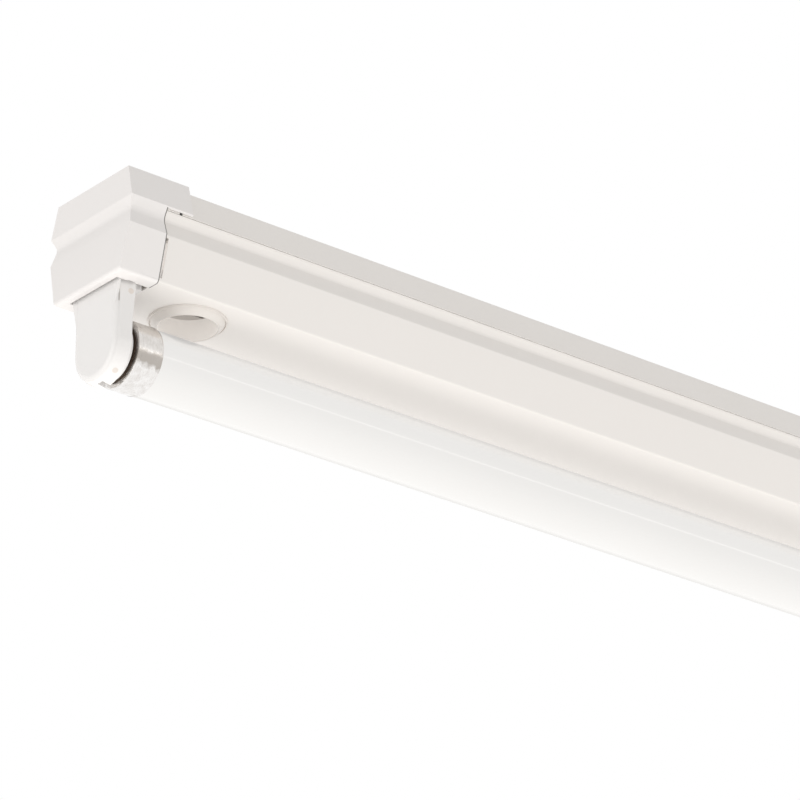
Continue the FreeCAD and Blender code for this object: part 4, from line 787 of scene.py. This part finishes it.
# %% Discs and collars
def insulating_disc(side, word):
    """Disc with a raised middle, a chamfered rim and a collar round each pin."""
    low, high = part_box("lamp_insulator_" + word)
    back, face = sorted((abs(low.x), abs(high.x)))
    radius = (high.z - low.z) / 2
    step = face - 0.1 * MM
    raised_foot, raised_top = 9.0 * MM, 8.7 * MM
    disc_profile = [(back, 0.0), (back, radius), (face - 0.35 * MM, radius),
                    (step, radius - 0.3 * MM), (step, raised_foot), (face, raised_top),
                    (face, 0.0)]
    disc = turned([(side * x, r) for x, r in disc_profile], lamp_centre, LAMP_AXIS, steps=96)
    keep_piece(disc, "lamp_disc_" + word, "lamp", "brown_insulator",
               replaced=["lamp_insulator_" + word], smooth=50.0)
    pin_hole = 1.15 * MM
    foot, top = face - 0.2 * MM, face + 0.28 * MM
    collar_profile = [(foot, pin_hole), (foot, 2.0 * MM), (face + 0.1 * MM, 1.9 * MM),
                      (top, 1.6 * MM), (top, pin_hole)]
    pin_offset = 6.35 * MM
    for number, level in enumerate((-pin_offset, pin_offset)):
        collar = turned([(side * x, r) for x, r in collar_profile],
                        (0.0, 0.0, AXIS_LEVEL + level), LAMP_AXIS, steps=32)
        keep_piece(collar, "pin_collar_%s_%d" % (word, number), "lamp", "brass", smooth=40.0)


for side, word in ((-1, "left"), (1, "right")):
    metal_shell(side, word)
    insulating_disc(side, word)

# %% [markdown]
# ## The starter's bush
# The bush lines the hole that the starter goes through. A thin rim lies on the cover, a shallow
# moat runs inside it, and from there the ring slopes down to the lip round the mouth. Its collar
# goes up inside the cover and snaps in behind it with a barb. It is turned about a vertical line.

# %% Bush
bush_low, bush_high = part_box("starter_hole_bush")
lip = bush_low.z
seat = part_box("cover")[0].z
collar_top = bush_high.z
rim_radius = (bush_high.x - bush_low.x) / 2
bore_radius = 11.0 * MM
collar_radius = 12.3 * MM
barb_radius = 12.8 * MM
moat_radius = rim_radius - 0.6 * MM
rim_face = seat - 1.0 * MM
behind_sheet = seat + 0.7 * MM
mouth = [(collar_top, bore_radius), (lip + 0.3 * MM, bore_radius), (lip, 11.6 * MM),
         (lip + 0.3 * MM, 12.2 * MM)]
moat_and_rim = [(seat - 0.4 * MM, moat_radius), (rim_face, moat_radius),
                (rim_face, rim_radius - 0.2 * MM), (seat, rim_radius)]
collar = [(seat, collar_radius), (behind_sheet, collar_radius), (behind_sheet, barb_radius),
          (seat + 1.7 * MM, collar_radius), (collar_top, collar_radius)]
bush = turned(mouth + moat_and_rim + collar, centre=(hole_centre, 0.0, 0.0),
              direction=(0, 0, 1), steps=128)
ease(bush, sharp_edges(bush, angle=30.0), width=0.12 * MM, segments=2)
keep_piece(bush, "starter_ring", "cover_unit", "white_moulding",
           replaced=["starter_hole_bush"], smooth=30.0, look=bush_moulding)

# %% [markdown]
# ## The cover
# The cover is one sheet of steel, folded on a press: inturned lips at the top, a long cove, a
# ridge, a plain side, and a flat bottom with the starter's hole. So it is made as a sheet: its
# outline is drawn once, pulled along the fitting, folded edges are rounded, and only then does
# the sheet get its thickness, which keeps the same gauge round every fold. The places of the
# lip, the top edge and the ridge are read from the frame's own points.

# %% Outline of the cover
cover_low, cover_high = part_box("cover")
cover_points = [vertex.co for vertex in nodes["cover"].data.vertices]
top_points = [co for co in cover_points if co.z > cover_high.z - 0.01 * MM]
top_edge = max(top_points, key=lambda co: co.y)
lip_edge = min(abs(co.y) for co in top_points)
below_cove = -20 * MM
ridge = max((co for co in cover_points if co.z < below_cove), key=lambda co: co.y)
cove_depth = 2.2 * MM
cove_y, cove_z = (top_edge.y + ridge.y) / 2 - cove_depth, -17.1 * MM
side_slope = 4.5 / 18.0
bottom_y = ridge.y - (ridge.z - cover_low.z) * side_slope
hole_half = 14.4 * MM
notch_top, notch_bottom = -24.6 * MM, -39.3 * MM
tight_fold, cove_fold, bottom_fold = 0.3 * MM, 0.78 * MM, 0.75 * MM
folds = {(top_edge.y, cover_high.z): tight_fold, (cove_y, cove_z): cove_fold,
         (ridge.y, ridge.z): tight_fold, (bottom_y, cover_low.z): bottom_fold}
on_side = [(ridge.y - (ridge.z - z) * side_slope, z) for z in (notch_top, notch_bottom)]
outline = [(lip_edge, cover_high.z)] + list(folds) + [(hole_half, cover_low.z)]
outline[4:4] = on_side
outline += [(-y, z) for y, z in reversed(outline)]
print("cover outline has", len(outline), "points, ridge at", [round(v / MM, 2) for v in ridge])

# %% [markdown]
# The outline is pulled from station to station: the ends of the notches that make room for the
# caps, and the two sides of a square that will hold the starter's hole. The faces in the notches
# are taken away, and then every fold is rounded.

# %% Sheet of the cover
cover = bmesh.new()
cover_end = cover_high.x
notch = 1.4 * MM
stations = [-cover_end, -cover_end + notch, hole_centre - hole_half, hole_centre + hole_half,
            cover_end - notch, cover_end]
row = [cover.verts.new((stations[0], y, z)) for y, z in outline]
edges = [cover.edges.new(pair) for pair in zip(row, row[1:])]
for here, there in zip(stations, stations[1:]):
    pulled = bmesh.ops.extrude_edge_only(cover, edges=edges)["geom"]
    edges = [item for item in pulled if isinstance(item, bmesh.types.BMEdge)]
    bmesh.ops.translate(cover, vec=(there - here, 0, 0),
                        verts=[item for item in pulled if isinstance(item, bmesh.types.BMVert)])
notched = [face for face in cover.faces
           if abs(face.calc_center_median().x) > cover_end - notch
           and notch_bottom < face.calc_center_median().z < notch_top]
bmesh.ops.delete(cover, geom=notched, context="FACES")


def along_fold(edge, y, z):
    """Whether both ends of an edge lie on the fold at (y, z), on either side."""
    return all(math.hypot(abs(vertex.co.y) - y, vertex.co.z - z) < MM / 100
               for vertex in edge.verts)


for (y, z), width in folds.items():
    fold = [edge for edge in cover.edges if along_fold(edge, y, z)]
    ease(cover, fold, width, segments=5)

# %% [markdown]
# The square in the bottom is taken out, and its border is cut into as many edges as the circle
# that it is joined to. The circle starts a little lower, so that the faces between are easy to
# build, and is then lifted into the sheet. Last, the sheet is given its gauge.

# %% Starter hole in the cover
HOLE_RADIUS = 12.4 * MM
HOLE_SEGMENTS = 64
SHEET_GAUGE = 0.6 * MM
cover.normal_update()
window = [face for face in cover.faces
          if abs(face.calc_center_median().x - hole_centre) < MM
          and abs(face.calc_center_median().y) < MM and face.normal.z ** 2 > 0.9]
border = [edge for face in window for edge in face.edges]
bmesh.ops.delete(cover, geom=window, context="FACES_ONLY")
bmesh.ops.subdivide_edges(cover, edges=border, cuts=HOLE_SEGMENTS // len(border) - 1)
border_reach = hole_half + MM / 10
border = [edge for edge in cover.edges if edge.is_boundary
          and all(abs(vertex.co.x - hole_centre) < border_reach
                  and abs(vertex.co.y) < border_reach for vertex in edge.verts)]
apart = 5 * MM
below_hole = Matrix.Translation((hole_centre, 0, cover_low.z - apart))
ring = bmesh.ops.create_circle(cover, radius=HOLE_RADIUS, segments=HOLE_SEGMENTS,
                               matrix=below_hole)["verts"]
ring_edges = list({edge for vertex in ring for edge in vertex.link_edges})
bmesh.ops.bridge_loops(cover, edges=border + ring_edges)
bmesh.ops.translate(cover, vec=(0, 0, apart), verts=ring)
bmesh.ops.recalc_face_normals(cover, faces=cover.faces)
bottom = min(cover.faces, key=lambda face: face.calc_center_median().z)
if bottom.normal.z > 0:
    bmesh.ops.reverse_faces(cover, faces=cover.faces)
bmesh.ops.solidify(cover, geom=cover.faces, thickness=SHEET_GAUGE)
print("cover closed:", all(edge.is_manifold for edge in cover.edges))
keep_piece(cover, "cover_skin", "cover_unit", "white_enamel", replaced=["cover"], smooth=30.0)

# %% [markdown]
# ## Folded and moulded housing parts
# The spine, the end caps and the lampholders have the right faces in the frame, but their edges
# are knife sharp. Sheet that is folded on a press keeps a small outside radius, and a moulding
# has a radius on every edge, and these are what catch the light. A copy of each part is joined
# up, and its edges are rounded: long folds first and more widely, then the rest.

# %% Ease the housing
LONG_FOLD = 0.2


def merged_copy(node):
    """Copy of a part's mesh with its loose triangles joined and its flat faces made whole."""
    bm = bmesh.new()
    bm.from_mesh(nodes[node].data)
    bmesh.ops.remove_doubles(bm, verts=bm.verts, dist=MM / 500)
    bmesh.ops.dissolve_limit(bm, angle_limit=math.radians(0.2), verts=bm.verts, edges=bm.edges)
    return bm


def eased_part(node, name, slot, edge_width, fold_width=0.0):
    """Copy of a housing part with its long folds and its other sharp edges rounded off."""
    bm = merged_copy(node)
    before = len(bm.faces)
    if fold_width:
        ease(bm, sharp_edges(bm, angle=15.0, length=LONG_FOLD), fold_width, segments=3)
    ease(bm, sharp_edges(bm, angle=30.0, length=0.5 * MM), edge_width, segments=2)
    print(node, "from", before, "to", len(bm.faces), "faces")
    keep_piece(bm, name, "housing", slot, replaced=[node], smooth=30.0)


eased_part("spine", "spine_skin", "white_enamel", 0.12 * MM, fold_width=0.4 * MM)
for word in ("left", "right"):
    eased_part("end_cap_" + word, "cap_shell_" + word, "white_moulding", 0.35 * MM)
    eased_part("lampholder_back_" + word, "holder_back_" + word, "holder_moulding", 0.2 * MM)
    eased_part("lampholder_body_" + word, "holder_body_" + word, "holder_moulding", 0.15 * MM)

# %% [markdown]
# ## Small marks on the lampholders and the joint
# A moulding that was pushed out of its tool keeps a round mark where each pin pressed on it, and
# here they show as faint beige discs on the flanks. The slit between the holder's back plate and
# its body is so narrow that it reads as a soft grey line, so a strip of shadow colour lies in it.
# Beside the cap's tongue, a small black block of painted shadow stands for the dark gap above the
# cover.

# %% Helpers for marks
FOOT_OVERHANG = 0.71 * MM
end_plane = abs(LEFT_END) - FOOT_OVERHANG
flank_draft, flank_depth = 1.2, 6.5
flank_lean = math.atan2(flank_draft, flank_depth)
mark_radius = 1.1 * MM


def ejector_mark(name, end, side, inward, radius, angle, rise):
    """Thin disc on a leaning flank, at an angle below level round the lamp's axis, plus a rise."""
    drop = math.radians(angle)
    outward = Vector((end * math.sin(flank_lean),
                      side * math.cos(flank_lean) * math.cos(drop),
                      -math.cos(flank_lean) * math.sin(drop)))
    centre = (end * (end_plane - inward * MM), side * radius * MM * math.cos(drop),
              AXIS_LEVEL - radius * MM * math.sin(drop) + rise * MM)
    foot, top = -0.2 * MM, 0.05 * MM
    mark = turned([(foot, 0.0), (foot, mark_radius), (0.03 * MM, mark_radius), (top, 1.0 * MM),
                   (top, 0.0)], centre, outward, steps=24)
    keep_piece(mark, name, "housing", "holder_moulding", look=holder_beige)


def small_block(name, end, side, slot, look, inward, outward, levels):
    """Block with rounded edges, from its spans in mm: from the end, from the middle, in height."""
    spans = [sorted(end * (end_plane - value * MM) for value in inward),
             sorted(side * value * MM for value in outward),
             sorted(value * MM for value in levels)]
    size = [high - low for low, high in spans]
    middle = [(low + high) / 2 for low, high in spans]
    bm = bmesh.new()
    bmesh.ops.create_cube(bm, size=1.0, matrix=Matrix.Translation(middle) @ Matrix.Diagonal(
        (*size, 1.0)))
    ease(bm, list(bm.edges), width=min(size) / 8, segments=2)
    keep_piece(bm, name, "housing", slot, look=look)


# %% [markdown]
# The places were read from the photograph, in millimetres: in from the end, out from the middle
# or from the lamp's axis, and in height. Both ends get the same marks, on both sides.

# %% Marks
# painted shade: flat dark finishes for the slit's shadow and for the gap beside the tongue
deep_shadow = insulation("deep_shadow", rgb(0.03, 0.028, 0.026), rgb(0.02, 0.018, 0.017))
soft_shadow = insulation("soft_shadow", rgb(0.34, 0.31, 0.28), rgb(0.30, 0.27, 0.24))
mark_places = (dict(inward=9.1, radius=13.93, angle=0.0, rise=18.5),
               dict(inward=7.5, radius=13.62, angle=55.0, rise=0.0))
slit_spans = dict(inward=(4.52, 4.78), outward=(12.8, 13.02), levels=(-49.6, -41.0))
# painted shadow: a black block in the gap above the cover, beside the cap's tongue
gap_shadow_spans = dict(inward=(22.5, 23.5), outward=(23.9, 24.25), levels=(-13.95, -13.0))
for end, word in ((-1, "left"), (1, "right")):
    for side, flank in ((-1, "near"), (1, "far")):
        tag = word + "_" + flank
        for number, mark_place in enumerate(mark_places):
            ejector_mark("ejector_mark_%s_%d" % (tag, number), end, side, **mark_place)
        small_block("holder_slit_" + tag, end, side, "holder_moulding", soft_shadow,
                    **slit_spans)
        small_block("gap_shadow_" + tag, end, side, "black_rubber", deep_shadow, **gap_shadow_spans)

# %% [markdown]
# ## The floor
# A plain pale floor lies far below the fitting. A fitting on a ceiling is mostly looked at from
# below, so the floor's underside is clear: its alpha is one only where its upper side faces the
# eye.

# %% Floor
FLOOR_LEVEL = -1.3
FLOOR_REACH = 8.0
floor_bm = bmesh.new()
bmesh.ops.create_grid(floor_bm, x_segments=1, y_segments=1, size=FLOOR_REACH,
                      matrix=Matrix.Translation((0.0, 0.0, FLOOR_LEVEL)))
floor_mesh = bpy.data.meshes.new("floor")
floor_bm.to_mesh(floor_mesh)
floor_bm.free()
pale = finish("floor_pale", skin_group,
              {"Colour": rgb(0.86, 0.86, 0.855), "Shade": rgb(0.84, 0.84, 0.835),
               "Cloud Size": 0.6, "Grain Size": 0.01, "Roughness": 0.7,
               "Roughness Range": 0.1})
pale_tree = pale.node_tree
seen_from_below = pale_tree.nodes.new("ShaderNodeNewGeometry").outputs["Backfacing"]
pale_tree.links.new(do_math(pale_tree, "SUBTRACT", 1.0, seen_from_below),
                    pale_tree.nodes["Principled BSDF"].inputs["Alpha"])
floor_mesh.materials.append(pale)
floor = bpy.data.objects.new("floor", floor_mesh)
bpy.context.scene.collection.objects.link(floor)
floor.visible_glossy = False
